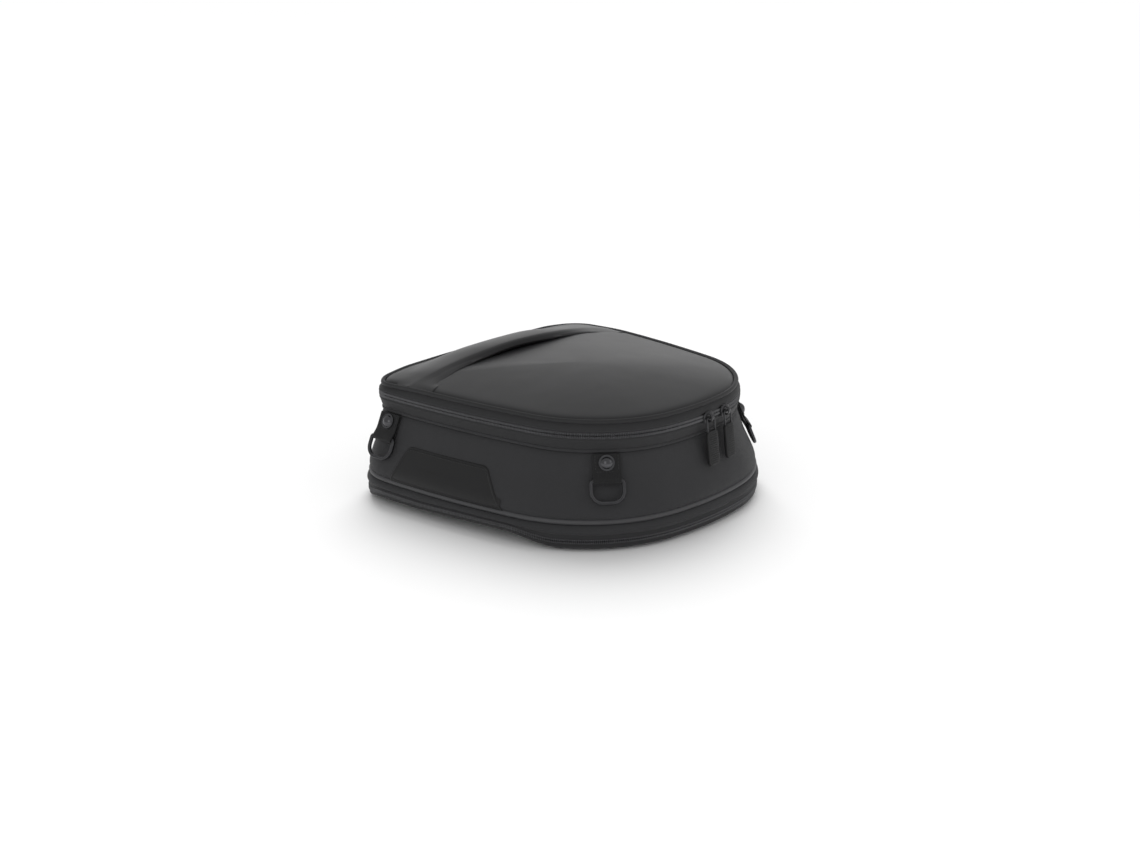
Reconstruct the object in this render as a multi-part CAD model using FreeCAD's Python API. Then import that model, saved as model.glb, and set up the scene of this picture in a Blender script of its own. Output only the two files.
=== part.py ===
import FreeCAD, Part
import math
import os

# Motorcycle tail bag, millimetres
# +Z is up, +Y faces the rider, the bag's zip pulls are at the rear (-Y) and X runs across.
# The origin is on the ground at the middle of the bag's plan.

# Plan outlines
# An outline is a closed chain of tangent arcs, alike on both sides. Each arc spans the same
# directions of its outward normal in every outline, so outlines loft into each other arc by arc.
REAR_SPAN = 9.0
CORNER_SPAN = 79.0
SIDE_SPAN = 89.5
FRONT_SPAN = 174.6
BASE_REAR_Y = 153.4
BASE_REAR_R = 301.1
BASE_CORNER_R = 121.3
BASE_SIDE_R = 808.5
BASE_FRONT_R = 54.0
LID_REAR_Y = 140.7
LID_REAR_R = 241.4
LID_CORNER_R = 105.6
LID_SIDE_R = 903.8
LID_FRONT_R = 26.2

# Heights of the seams above the ground
PAN_TOP_Z = 5.0
EXPANSION_ZIP_Z = 9.2
BAND_SEAM_Z = 14.6
PIPING_Z = 26.0
TOP_PIPING_Z = 83.2
TOP_SEAM_Z = 85.2
MAIN_ZIP_Z = 97.3
RIM_SEAM_Z = 106.9

# How far each seam is drawn in from its outline
PAN_FOOT_INSET = 9.0
PAN_INSET = 3.4
PAN_LIP_INSET = 2.8
CHAIN_INSET = 2.3
BAND_CREST_INSET = 0.4
BAND_SEAM_INSET = 1.7
TOP_SEAM_INSET = 3.1
RIM_SEAM_INSET = 3.2

# Thicknesses of the shells, bands and boards
PAN_FLOOR = 2.2
PAN_WALL = 2.6
BOARD_THICKNESS = 2.4
BOARD_INSET = 12.0
BAND_THICKNESS = 2.6
TAPE_THICKNESS = 1.2
WALL_THICKNESS = 4.0
LINING_THICKNESS = 0.9
PATCH_THICKNESS = 1.1
GUSSET_THICKNESS = 2.0
GUSSET_GAP = 1.2
LID_THICKNESS = 4.0

# Piping: height and how far it stands proud of the seam beside it
BASE_PIPING_HEIGHT = 4.6
TOP_PIPING_HEIGHT = 3.4
RIM_PIPING_HEIGHT = 4.2
PIPING_DEPTH = 4.0
PIPING_CREST = 1.3

# Wall: how far it stands out of a straight line from the base piping to the top piping
WALL_BULGE_Z = 37.0
WALL_BULGE = 1.2
WALL_WAIST_Z = 62.0
WALL_WAIST = -1.2

# Lid crown
CROWN_HEIGHT = 11.5
CROWN_Y = -6.0
CROWN_STEPS = (1.0, 0.86, 0.68, 0.46, 0.2)
CROWN_POWER = 1.7
CROWN_SPREAD = 1.06
CROWN_DEPTH = 16.0
RIM_CREST_INSET = 2.2
RIM_PIPING_DEPTH = 3.0
RIM_STEP = 2.5

# Zip chains
TOOTH_HEIGHT = 2.2
TOOTH_PROUD = 0.9
ZIP_GAP = 1.2
CHAIN_FLAT = 5.8
HINGE_HALF = 104.0
STRIP_CLEARANCE = 0.4
FRONT_DEPTH = 60.0

# Carrying handle across the front of the lid. Each BACK is a distance behind the lid's front.
HANDLE_CREST_Z = 126.0
HANDLE_CREST_DROP = 15.5
HANDLE_CREST_BACK = 54.9
HANDLE_END_X = 136.0
HANDLE_REAR_BACK = 58.9
HANDLE_END_SWEEP = 24.0
HANDLE_FRONT_BACK = 9.9
HANDLE_MIDDLE_BACK = 30.9
HANDLE_BELLY = 2.6
HANDLE_THICKNESS = 2.8
HANDLE_EDGE = 1.2
HANDLE_STATIONS = (-1.0, -0.8, -0.55, -0.28, 0.0, 0.28, 0.55, 0.8, 1.0)
HANDLE_GAP_SHARE = 0.8
HANDLE_GAP_FRONT_BACK = 35.9
HANDLE_GAP_REAR_BACK = 142.9

# Ring loops: webbing, rivet and ring, four of them
RING_NORMALS = {"rear_left": -42.0, "rear_right": 48.0, "front_left": -89.4, "front_right": 89.4}
RIVET_Z = {"rear_left": 73.5, "rear_right": 73.5, "front_left": 74.0, "front_right": 74.0}
WEBBING_WIDTH = 24.0
WEBBING_THICKNESS = 3.0
WEBBING_ABOVE = 7.6
WEBBING_BELOW = 15.4
WEBBING_PLY = 1.3
RING_WIRE_R = 1.7
RING_INNER_WIDTH = 24.8
RING_DROP = 18.4
RING_CORNER_R = 10.0
RING_TOP_R = 2.4
RING_CLEARANCE = 0.08
RING_LEAN = 2.5
SEAT_CLEARANCE = 0.3
RIVET_WASHER_R = 6.9
RIVET_WASHER = 1.0
RIVET_CAP_R = 5.3
RIVET_CAP_HEIGHT = 2.9
RIVET_SHANK_R = 2.0
RIVET_HOLE_CLEARANCE = 0.1
RIVET_BACK_R = 5.0
RIVET_BACK = 0.9
RIVET_BACK_CLEARANCE = 0.7
DRILL_REACH = 16.0

# Side patches
PATCH_REAR_Y = -41.0
PATCH_FRONT_Y = 88.0
PATCH_TOP_REAR_Y = -14.0
PATCH_TOP_FRONT_Y = 76.0
PATCH_TOP_Z = 59.6
PATCH_CORNER_R = 9.0

# Main zip sliders and their pulls
SLIDER_NORMALS = {"left": 1.5, "right": 7.7}
SLIDER_LENGTH = 14.0
SLIDER_HEIGHT = 10.4
SLIDER_PLATE = 1.4
SLIDER_PLAY = 0.65
SLIDER_POST_LENGTH = 4.0
SLIDER_POST_HEIGHT = 0.6
BRIDGE_HEIGHT = 7.4
BRIDGE_WIDTH = 3.6
BRIDGE_RISE = 4.6
BRIDGE_BAR = 1.3
WIRE_R = 0.8
WIRE_HALF = 5.2
WIRE_DROP = 14.5
WIRE_CORNER_R = 2.0
PULL_TILT = 7.0
TAB_WIDTH = 14.6
TAB_LENGTH = 31.0
TAB_THICKNESS = 3.8
TAB_TOP = 11.5
TAB_CORNER_R = 3.4

# Expansion zip slider, parked at the base's front right corner, with a small pull
EXPANSION_SLIDER_NORMAL = 135.0
EXPANSION_SLIDER_LENGTH = 9.0
EXPANSION_SLIDER_HEIGHT = 6.4
EXPANSION_BRIDGE_HEIGHT = 5.6
EXPANSION_TOOTH_HEIGHT = 1.6
EXPANSION_WIRE_HALF = 3.6
EXPANSION_WIRE_DROP = 5.4
EXPANSION_TAB_WIDTH = 8.0
EXPANSION_TAB_LENGTH = 13.0
EXPANSION_TAB_THICKNESS = 2.2
EXPANSION_PULL_TURN = 66.0

UP = FreeCAD.Vector(0, 0, 1)
ACROSS = FreeCAD.Vector(1, 0, 0)
FORE = FreeCAD.Vector(0, 1, 0)
FAR = 400.0
OVERSHOOT = 1.0


def point(x, y, z):
    return FreeCAD.Vector(x, y, z)


def outward(angle):
    turn = math.radians(angle)
    return point(math.sin(turn), -math.cos(turn), 0)


# Outlines
def base_outline():
    return {"rear": BASE_REAR_Y, "rear_r": BASE_REAR_R, "corner_r": BASE_CORNER_R,
            "side_r": BASE_SIDE_R, "front_r": BASE_FRONT_R, "shift": 0.0}


def lid_outline():
    return {"rear": LID_REAR_Y, "rear_r": LID_REAR_R, "corner_r": LID_CORNER_R,
            "side_r": LID_SIDE_R, "front_r": LID_FRONT_R, "shift": 0.0}


def mixed_outline(share):
    low = base_outline()
    high = lid_outline()
    return {key: low[key] + (high[key] - low[key]) * share for key in low}


def shrunk_outline(outline, scale, middle_y):
    smaller = {key: value * scale for key, value in outline.items()}
    smaller["shift"] = middle_y * (1 - scale)
    return smaller


def arc_centres(outline):
    rear = point(0, outline["shift"] - outline["rear"] + outline["rear_r"], 0)
    corner = rear + outward(REAR_SPAN) * (outline["rear_r"] - outline["corner_r"])
    side = corner - outward(CORNER_SPAN) * (outline["side_r"] - outline["corner_r"])
    nose = side + outward(SIDE_SPAN) * (outline["side_r"] - outline["front_r"])
    front_r = outline["front_r"] + nose.x / math.sin(math.radians(FRONT_SPAN))
    front = nose - outward(FRONT_SPAN) * (front_r - outline["front_r"])
    return rear, corner, side, nose, front, front_r


def outline_arcs(outline, inset):
    rear, corner, side, nose, front, front_r = arc_centres(outline)
    right = [(corner, outline["corner_r"], REAR_SPAN, CORNER_SPAN),
             (side, outline["side_r"], CORNER_SPAN, SIDE_SPAN),
             (nose, outline["front_r"], SIDE_SPAN, FRONT_SPAN)]
    left = [(point(-centre.x, centre.y, 0), radius, -end, -start) for centre, radius, start, end in right]
    arcs = [(rear, outline["rear_r"], -REAR_SPAN, REAR_SPAN)] + right
    arcs.append((front, front_r, FRONT_SPAN, 360 - FRONT_SPAN))
    arcs.extend(reversed(left))
    return [(centre, radius - inset, start, end) for centre, radius, start, end in arcs]


def outline_wire(outline, inset, z):
    edges = []
    for centre, radius, start, end in outline_arcs(outline, inset):
        places = [centre + outward(angle) * radius + UP * z for angle in (start, (start + end) / 2, end)]
        edges.append(Part.Arc(*places).toShape())
    return Part.Wire(edges)


def outline_point(outline, inset, angle):
    for centre, radius, start, end in outline_arcs(outline, inset):
        for turned in (angle, angle + 360):
            if start <= turned <= end:
                return centre + outward(turned) * radius
    raise ValueError("no arc faces that way")


def stack(levels):
    wires = [outline_wire(outline, inset, z) for outline, inset, z in levels]
    return Part.makeLoft(wires, True, True)


def ring(levels, thickness):
    outer = stack(levels)
    low_outline, low_inset, low_z = levels[0]
    high_outline, high_inset, high_z = levels[-1]
    core = [(low_outline, low_inset + thickness, low_z - OVERSHOOT)]
    core.extend((outline, inset + thickness, z) for outline, inset, z in levels)
    core.append((high_outline, high_inset + thickness, high_z + OVERSHOOT))
    return outer.cut(stack(core))


# Body wall: its levels are shared by the lining and the patches
def wall_share(z):
    return (z - PIPING_Z) / (TOP_SEAM_Z - PIPING_Z)


def wall_level(z, proud):
    share = wall_share(z)
    return (mixed_outline(share), TOP_SEAM_INSET * share - proud, z)


def wall_levels(extra):
    low = PIPING_Z + BASE_PIPING_HEIGHT / 2
    high = TOP_PIPING_Z - TOP_PIPING_HEIGHT / 2
    return [wall_level(low, extra - PIPING_CREST),
            wall_level(WALL_BULGE_Z, extra + WALL_BULGE),
            wall_level((WALL_BULGE_Z + WALL_WAIST_Z) / 2, extra),
            wall_level(WALL_WAIST_Z, extra + WALL_WAIST),
            wall_level(high, extra - PIPING_CREST)]


def piping(outline, z, height, crest_inset, depth):
    levels = []
    for share, sink in ((-0.5, 1.0), (-0.25, 0.25), (0.25, 0.25), (0.5, 1.0)):
        levels.append((outline, crest_inset + sink * PIPING_CREST, z + share * height))
    return ring(levels, depth)


def on_outline(shape, place, angle, tilt):
    moved = shape.copy()
    moved.rotate(point(0, 0, 0), ACROSS, -tilt)
    moved.rotate(point(0, 0, 0), UP, angle)
    moved.translate(place)
    return moved


# Base
def base_pan():
    base = base_outline()
    outer = stack([(base, PAN_FOOT_INSET, 0), (base, PAN_INSET, PAN_FLOOR), (base, PAN_LIP_INSET, PAN_TOP_Z)])
    well_inset = PAN_INSET + PAN_WALL
    well = stack([(base, well_inset, PAN_FLOOR), (base, well_inset, PAN_TOP_Z + OVERSHOOT)])
    return outer.cut(well)


def floor_board():
    base = base_outline()
    return stack([(base, BOARD_INSET, PAN_FLOOR), (base, BOARD_INSET, PAN_FLOOR + BOARD_THICKNESS)])


def expansion_gusset():
    base = base_outline()
    inset = PAN_INSET + PAN_WALL + GUSSET_GAP
    return ring([(base, inset, PAN_FLOOR), (base, inset, BAND_SEAM_Z + BAND_THICKNESS)], GUSSET_THICKNESS)


def zip_tape(outline, levels):
    return ring([(outline, inset, z) for inset, z in levels], TAPE_THICKNESS)


def tooth_row(outline, inset, low, height):
    depth = TAPE_THICKNESS + 2 * TOOTH_PROUD
    return ring([(outline, inset - TOOTH_PROUD, low), (outline, inset - TOOTH_PROUD, low + height)], depth)


def expansion_half(upper):
    base = base_outline()
    inset = CHAIN_INSET
    if upper:
        low = EXPANSION_ZIP_Z + ZIP_GAP / 2
        row = tooth_row(base, inset, low, EXPANSION_TOOTH_HEIGHT)
        tape = zip_tape(base, [(inset, low), (inset, BAND_SEAM_Z)])
    else:
        high = EXPANSION_ZIP_Z - ZIP_GAP / 2
        row = tooth_row(base, inset, high - EXPANSION_TOOTH_HEIGHT, EXPANSION_TOOTH_HEIGHT)
        tape = zip_tape(base, [(inset, PAN_TOP_Z), (inset, high)])
    return tape.cut(row), row


def lower_band():
    base = base_outline()
    top = PIPING_Z - BASE_PIPING_HEIGHT / 2
    middle = (BAND_SEAM_Z + top) / 2
    return ring([(base, BAND_SEAM_INSET, BAND_SEAM_Z), (base, BAND_CREST_INSET, middle), (base, PIPING_CREST, top)], BAND_THICKNESS)


# Body
def body_wall():
    return ring(wall_levels(0), WALL_THICKNESS)


def wall_lining():
    return ring(wall_levels(-WALL_THICKNESS), LINING_THICKNESS)


def base_piping():
    return piping(base_outline(), PIPING_Z, BASE_PIPING_HEIGHT, 0, PIPING_DEPTH)


def top_piping():
    share = wall_share(TOP_PIPING_Z)
    return piping(mixed_outline(share), TOP_PIPING_Z, TOP_PIPING_HEIGHT, TOP_SEAM_INSET * share, PIPING_DEPTH)


def lid_front():
    return outline_point(lid_outline(), 0, 180).y


def front_block(margin):
    half = HINGE_HALF + margin
    return Part.makeBox(2 * half, FAR, FAR, point(-half, lid_front() - FRONT_DEPTH, 0))


def main_half(upper):
    lid = lid_outline()
    if upper:
        low = MAIN_ZIP_Z + ZIP_GAP / 2
        row = tooth_row(lid, TOOTH_PROUD, low, TOOTH_HEIGHT)
        tape = zip_tape(lid, [(TOOTH_PROUD, low), (TOOTH_PROUD, MAIN_ZIP_Z + CHAIN_FLAT), (RIM_SEAM_INSET, RIM_SEAM_Z)])
    else:
        high = MAIN_ZIP_Z - ZIP_GAP / 2
        row = tooth_row(lid, TOOTH_PROUD, high - TOOTH_HEIGHT, TOOTH_HEIGHT)
        tape = zip_tape(lid, [(TOP_SEAM_INSET, TOP_SEAM_Z), (TOOTH_PROUD, MAIN_ZIP_Z - CHAIN_FLAT), (TOOTH_PROUD, high)])
    block = front_block(STRIP_CLEARANCE)
    return tape.cut(row).cut(block), row.cut(block)


def hinge_strip():
    lid = lid_outline()
    levels = [(lid, TOP_SEAM_INSET, TOP_SEAM_Z), (lid, TOOTH_PROUD, MAIN_ZIP_Z), (lid, RIM_SEAM_INSET, RIM_SEAM_Z)]
    return ring(levels, TAPE_THICKNESS).common(front_block(0))


def patch_profile():
    corners = [point(0, PATCH_REAR_Y, PIPING_Z), point(0, PATCH_TOP_REAR_Y, PATCH_TOP_Z),
               point(0, PATCH_TOP_FRONT_Y, PATCH_TOP_Z), point(0, PATCH_FRONT_Y, PIPING_Z)]
    return Part.Face(Part.makePolygon(corners + corners[:1]))


def side_patch(side):
    sheet = ring(wall_levels(PATCH_THICKNESS), PATCH_THICKNESS)
    profile = patch_profile().extrude(ACROSS * side * FAR)
    top_edges = []
    for edge in profile.Edges:
        ends = [vertex.Point for vertex in edge.Vertexes]
        lengthwise = abs(abs(ends[0].x - ends[1].x) - FAR) < 1
        if lengthwise and abs(ends[0].z - PATCH_TOP_Z) < 1:
            top_edges.append(edge)
    return sheet.common(profile.makeFillet(PATCH_CORNER_R, top_edges))


# Ring loops
def wall_tilt(angle):
    foot = outline_point(base_outline(), 0, angle)
    head = outline_point(lid_outline(), TOP_SEAM_INSET, angle)
    lean = (foot - head).dot(outward(angle))
    return math.degrees(math.atan2(lean, TOP_SEAM_Z - PIPING_Z)) + RING_LEAN


def ring_seat(name):
    z = RIVET_Z[name]
    outline, inset, level = wall_level(z, WALL_WAIST)
    return outline_point(outline, inset, RING_NORMALS[name]) + UP * level


def on_wall(shape, name):
    angle = RING_NORMALS[name]
    return on_outline(shape, ring_seat(name), angle, wall_tilt(angle))


def ring_bar_place():
    return point(0, -SEAT_CLEARANCE - RING_WIRE_R - RING_CLEARANCE - WEBBING_PLY, -WEBBING_BELOW)


def webbing_shape():
    half = WEBBING_WIDTH / 2
    bar = ring_bar_place()
    hole_r = RING_WIRE_R + RING_CLEARANCE
    strap = Part.makeBox(WEBBING_WIDTH, WEBBING_THICKNESS, WEBBING_ABOVE + WEBBING_BELOW,
                         point(-half, -SEAT_CLEARANCE - WEBBING_THICKNESS, -WEBBING_BELOW))
    loop = Part.makeCylinder(hole_r + WEBBING_PLY, WEBBING_WIDTH, point(-half, bar.y, bar.z), ACROSS)
    hole = Part.makeCylinder(hole_r, WEBBING_WIDTH + 2 * OVERSHOOT, point(-half - OVERSHOOT, bar.y, bar.z), ACROSS)
    shank = Part.makeCylinder(RIVET_SHANK_R + RIVET_HOLE_CLEARANCE, FAR, point(0, FAR / 2, 0), -FORE)
    return strap.fuse(loop).cut(hole).cut(shank).removeSplitter()


def ring_path():
    half = RING_INNER_WIDTH / 2 + RING_WIRE_R
    low = -RING_DROP
    corner = RING_CORNER_R
    top = RING_TOP_R
    knee = math.sqrt(0.5)
    spots = {
        "bar_left": point(-half + top, 0, 0), "bar_right": point(half - top, 0, 0),
        "leg_right": point(half, 0, -top), "low_right": point(half, 0, low + corner),
        "foot_right": point(half - corner, 0, low), "foot_left": point(-half + corner, 0, low),
        "low_left": point(-half, 0, low + corner), "leg_left": point(-half, 0, -top)}

    def bend(start, cx, cz, radius, sx, sz, end):
        middle = point(cx + sx * knee * radius, 0, cz + sz * knee * radius)
        return Part.Arc(spots[start], middle, spots[end]).toShape()

    edges = [Part.LineSegment(spots["bar_left"], spots["bar_right"]).toShape(),
             bend("bar_right", half - top, -top, top, 1, 1, "leg_right"),
             Part.LineSegment(spots["leg_right"], spots["low_right"]).toShape(),
             bend("low_right", half - corner, low + corner, corner, 1, -1, "foot_right"),
             Part.LineSegment(spots["foot_right"], spots["foot_left"]).toShape(),
             bend("foot_left", -half + corner, low + corner, corner, -1, -1, "low_left"),
             Part.LineSegment(spots["low_left"], spots["leg_left"]).toShape(),
             bend("leg_left", -half + top, -top, top, -1, 1, "bar_left")]
    return Part.Wire(edges)


def wire_sweep(path, radius):
    start = path.Edges[0]
    section = Part.Wire(Part.makeCircle(radius, start.valueAt(start.FirstParameter), start.tangentAt(start.FirstParameter)))
    return path.makePipeShell([section], True, True)


def ring_shape():
    swept = wire_sweep(ring_path(), RING_WIRE_R)
    swept.translate(ring_bar_place())
    return swept


def rivet_shape():
    face = -SEAT_CLEARANCE - WEBBING_THICKNESS
    back = WALL_THICKNESS + LINING_THICKNESS + RIVET_BACK_CLEARANCE
    washer = Part.makeCylinder(RIVET_WASHER_R, RIVET_WASHER, point(0, face, 0), -FORE)
    cap_radius = (RIVET_CAP_R ** 2 + RIVET_CAP_HEIGHT ** 2) / (2 * RIVET_CAP_HEIGHT)
    ball = Part.makeSphere(cap_radius, point(0, face - RIVET_WASHER - RIVET_CAP_HEIGHT + cap_radius, 0))
    cap = ball.common(Part.makeCylinder(cap_radius, cap_radius, point(0, face - RIVET_WASHER, 0), -FORE))
    shank = Part.makeCylinder(RIVET_SHANK_R, back - face, point(0, back, 0), -FORE)
    plate = Part.makeCylinder(RIVET_BACK_R, RIVET_BACK, point(0, back + RIVET_BACK, 0), -FORE)
    return washer.fuse([cap, shank, plate]).removeSplitter()


def rivet_holes():
    drill = Part.makeCylinder(RIVET_SHANK_R + RIVET_HOLE_CLEARANCE, 2 * DRILL_REACH, point(0, DRILL_REACH, 0), -FORE)
    return [on_wall(drill, name) for name in RING_NORMALS]


# Zip sliders and pulls
def slider_shape(length, height, tape_face, chain_depth, bridge_height):
    half = height / 2
    outer_face = -(TOOTH_PROUD + SLIDER_PLAY)
    inner_face = chain_depth - TOOTH_PROUD + SLIDER_PLAY
    outer = Part.makeBox(length, SLIDER_PLATE, height, point(-length / 2, outer_face - SLIDER_PLATE, -half))
    inner = Part.makeBox(length, SLIDER_PLATE, height, point(-length / 2, inner_face, -half))
    lips = []
    for low in (-half, half - SLIDER_PLATE / 2):
        lips.append(Part.makeBox(length, tape_face - SLIDER_PLAY - outer_face, SLIDER_PLATE / 2,
                                 point(-length / 2, outer_face, low)))
    post = Part.makeBox(SLIDER_POST_LENGTH, inner_face - outer_face, SLIDER_POST_HEIGHT,
                        point(length / 2 - SLIDER_POST_LENGTH, outer_face, -SLIDER_POST_HEIGHT / 2))
    plate_top = outer_face - SLIDER_PLATE
    bridge = Part.makeBox(BRIDGE_WIDTH, BRIDGE_RISE, bridge_height,
                          point(-BRIDGE_WIDTH / 2, plate_top - BRIDGE_RISE, -bridge_height / 2))
    window_width = BRIDGE_WIDTH + 2 * OVERSHOOT
    window = Part.makeBox(window_width, BRIDGE_RISE - BRIDGE_BAR, bridge_height - 2 * BRIDGE_BAR,
                          point(-window_width / 2, plate_top - BRIDGE_RISE + BRIDGE_BAR, -bridge_height / 2 + BRIDGE_BAR))
    return outer.fuse([inner, post, bridge.cut(window)] + lips).removeSplitter()


def pull_pivot():
    plate_top = -(TOOTH_PROUD + SLIDER_PLAY) - SLIDER_PLATE
    return plate_top - (BRIDGE_RISE - BRIDGE_BAR) / 2


def wire_loop(half, drop, corner):
    knee = corner * (1 - math.sqrt(0.5))
    rim = [point(-half + corner, 0, 0), point(half - corner, 0, 0), point(half, 0, -corner),
           point(half, 0, -drop + corner), point(half - corner, 0, -drop), point(-half + corner, 0, -drop),
           point(-half, 0, -drop + corner), point(-half, 0, -corner)]
    knees = [point(half - knee, 0, -knee), point(half - knee, 0, -drop + knee),
             point(-half + knee, 0, -drop + knee), point(-half + knee, 0, -knee)]
    edges = []
    for turn in range(4):
        start, end = rim[2 * turn], rim[2 * turn + 1]
        edges.append(Part.LineSegment(start, end).toShape())
        edges.append(Part.Arc(end, knees[turn], rim[(2 * turn + 2) % 8]).toShape())
    return Part.Wire(edges)


def pull_wire_shape():
    return wire_sweep(wire_loop(WIRE_HALF, WIRE_DROP, WIRE_CORNER_R), WIRE_R)


def pull_tab_shape():
    tab = Part.makeBox(TAB_WIDTH, TAB_THICKNESS, TAB_LENGTH,
                       point(-TAB_WIDTH / 2, -TAB_THICKNESS / 2, -TAB_TOP - TAB_LENGTH))
    uprights = [edge for edge in tab.Edges if abs(edge.tangentAt(edge.FirstParameter).y) > 0.9]
    rounded = tab.makeFillet(TAB_CORNER_R, uprights)
    channel = wire_sweep(wire_loop(WIRE_HALF, WIRE_DROP, WIRE_CORNER_R), WIRE_R)
    return rounded.cut(channel)


def slider_place(side):
    return outline_point(lid_outline(), TOOTH_PROUD, SLIDER_NORMALS[side]) + UP * MAIN_ZIP_Z


def main_slider(side):
    depth = TAPE_THICKNESS + 2 * TOOTH_PROUD
    shape = slider_shape(SLIDER_LENGTH, SLIDER_HEIGHT, 0, depth, BRIDGE_HEIGHT)
    if side == "right":
        shape = shape.mirror(point(0, 0, 0), ACROSS)
    return on_outline(shape, slider_place(side), SLIDER_NORMALS[side], 0)


def hang_pull(shape, side):
    hung = shape.copy()
    hung.rotate(point(0, 0, 0), ACROSS, -PULL_TILT)
    hung.translate(FORE * pull_pivot())
    return on_outline(hung, slider_place(side), SLIDER_NORMALS[side], 0)


def expansion_place():
    return outline_point(base_outline(), CHAIN_INSET, EXPANSION_SLIDER_NORMAL) + UP * EXPANSION_ZIP_Z


def expansion_slider():
    depth = TAPE_THICKNESS + 2 * TOOTH_PROUD
    shape = slider_shape(EXPANSION_SLIDER_LENGTH, EXPANSION_SLIDER_HEIGHT, 0, depth, EXPANSION_BRIDGE_HEIGHT)
    return on_outline(shape, expansion_place(), EXPANSION_SLIDER_NORMAL, 0)


def expansion_pull():
    path = wire_loop(EXPANSION_WIRE_HALF, EXPANSION_WIRE_DROP, WIRE_CORNER_R)
    wire = wire_sweep(path, WIRE_R)
    tab = Part.makeBox(EXPANSION_TAB_WIDTH, EXPANSION_TAB_THICKNESS, EXPANSION_TAB_LENGTH,
                       point(-EXPANSION_TAB_WIDTH / 2, -EXPANSION_TAB_THICKNESS / 2,
                             -EXPANSION_WIRE_DROP + WIRE_R - EXPANSION_TAB_LENGTH))
    pull = wire.fuse(tab)
    pull.rotate(point(0, 0, 0), ACROSS, -EXPANSION_PULL_TURN)
    pull.translate(FORE * pull_pivot())
    return on_outline(pull, expansion_place(), EXPANSION_SLIDER_NORMAL, 0)


# Lid
def rim_inset():
    return RIM_CREST_INSET + PIPING_CREST + RIM_PIPING_DEPTH


def crown_level(scale, drop):
    outline = shrunk_outline(lid_outline(), scale, CROWN_Y)
    rise = CROWN_HEIGHT * (1 - scale ** CROWN_POWER)
    return (outline, rim_inset() * scale, RIM_SEAM_Z + RIM_STEP + rise - drop)


def dome(drop):
    levels = [crown_level(scale, drop) for scale in CROWN_STEPS]
    outline, inset, z = levels[0]
    return stack([(outline, inset, z - CROWN_DEPTH)] + levels)


def dome_cutter(drop):
    levels = [crown_level(scale, drop) for scale in (CROWN_SPREAD,) + CROWN_STEPS]
    outline, inset, z = levels[0]
    return stack([(outline, inset, z - 2 * CROWN_DEPTH)] + levels)


def lid_panel():
    return dome(0).cut(dome_cutter(LID_THICKNESS))


def lid_lining():
    return dome(LID_THICKNESS).cut(dome_cutter(LID_THICKNESS + LINING_THICKNESS))


def lid_piping():
    middle = RIM_SEAM_Z + RIM_PIPING_HEIGHT / 2
    return piping(lid_outline(), middle, RIM_PIPING_HEIGHT, RIM_CREST_INSET, RIM_PIPING_DEPTH)


# Carrying handle: a strap across the lid, sewn down at its ends and front, open to the rear
def handle_crest(share):
    return HANDLE_CREST_Z - HANDLE_CREST_DROP * share ** 2


def handle_middle(share):
    return (handle_crest(share) + RIM_SEAM_Z + RIM_STEP) / 2 + HANDLE_BELLY


def handle_section(share):
    crest = handle_crest(share)
    front_z = RIM_SEAM_Z + RIM_STEP
    middle_z = handle_middle(share)
    x = share * HANDLE_END_X
    low = RIM_SEAM_Z - LID_THICKNESS
    front = lid_front() - HANDLE_FRONT_BACK
    rear = lid_front() - HANDLE_REAR_BACK - HANDLE_END_SWEEP * share ** 2
    places = [(rear, low), (rear, crest - HANDLE_THICKNESS), (rear + HANDLE_EDGE, crest - HANDLE_EDGE / 2),
              (lid_front() - HANDLE_CREST_BACK, crest), (lid_front() - HANDLE_MIDDLE_BACK, middle_z),
              (front, front_z), (front, low)]
    return Part.makePolygon([point(x, y, z) for y, z in places + places[:1]])


def finger_section(share):
    ceiling = handle_crest(share) - HANDLE_THICKNESS
    front_ceiling = handle_middle(share) - HANDLE_THICKNESS
    low = RIM_SEAM_Z - 2 * LID_THICKNESS
    x = share * HANDLE_END_X
    front = lid_front() - HANDLE_GAP_FRONT_BACK
    rear = lid_front() - HANDLE_GAP_REAR_BACK
    places = [(rear, low), (rear, ceiling), (lid_front() - HANDLE_CREST_BACK, ceiling),
              (front, front_ceiling), (front, low)]
    return Part.makePolygon([point(x, y, z) for y, z in places + places[:1]])


def handle():
    block = Part.makeLoft([handle_section(share) for share in HANDLE_STATIONS], True, True)
    inner = [share for share in HANDLE_STATIONS if abs(share) <= HANDLE_GAP_SHARE]
    fingers = Part.makeLoft([finger_section(share) for share in inner], True, True)
    lid = lid_outline()
    prism = stack([(lid, rim_inset(), 0), (lid, rim_inset(), FAR)])
    return block.common(prism).cut(dome(0)).cut(fingers)


# Output
def write(name, shape):
    solids = shape.Solids
    if not shape.isValid() or not solids:
        raise ValueError(name + " is not a valid solid")
    Part.makeCompound(solids).exportStep("parts/" + name + ".step")
    print(name, len(solids), round(shape.Volume / 1000, 2), "cm3")


def write_ring_loops():
    rivets = []
    for name in RING_NORMALS:
        write("ring_webbing_" + name, on_wall(webbing_shape(), name))
        write("d_ring_" + name, on_wall(ring_shape(), name))
        rivets.append(on_wall(rivet_shape(), name))
    write("rivets", Part.makeCompound(rivets))


def write_main_zip():
    for side in SLIDER_NORMALS:
        write("main_slider_" + side, main_slider(side))
        write("pull_wire_" + side, hang_pull(pull_wire_shape(), side))
        write("pull_tab_" + side, hang_pull(pull_tab_shape(), side))
    for upper, name in ((False, "lower"), (True, "upper")):
        tape, teeth = main_half(upper)
        write("main_tape_" + name, tape)
        write("main_teeth_" + name, teeth)


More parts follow.
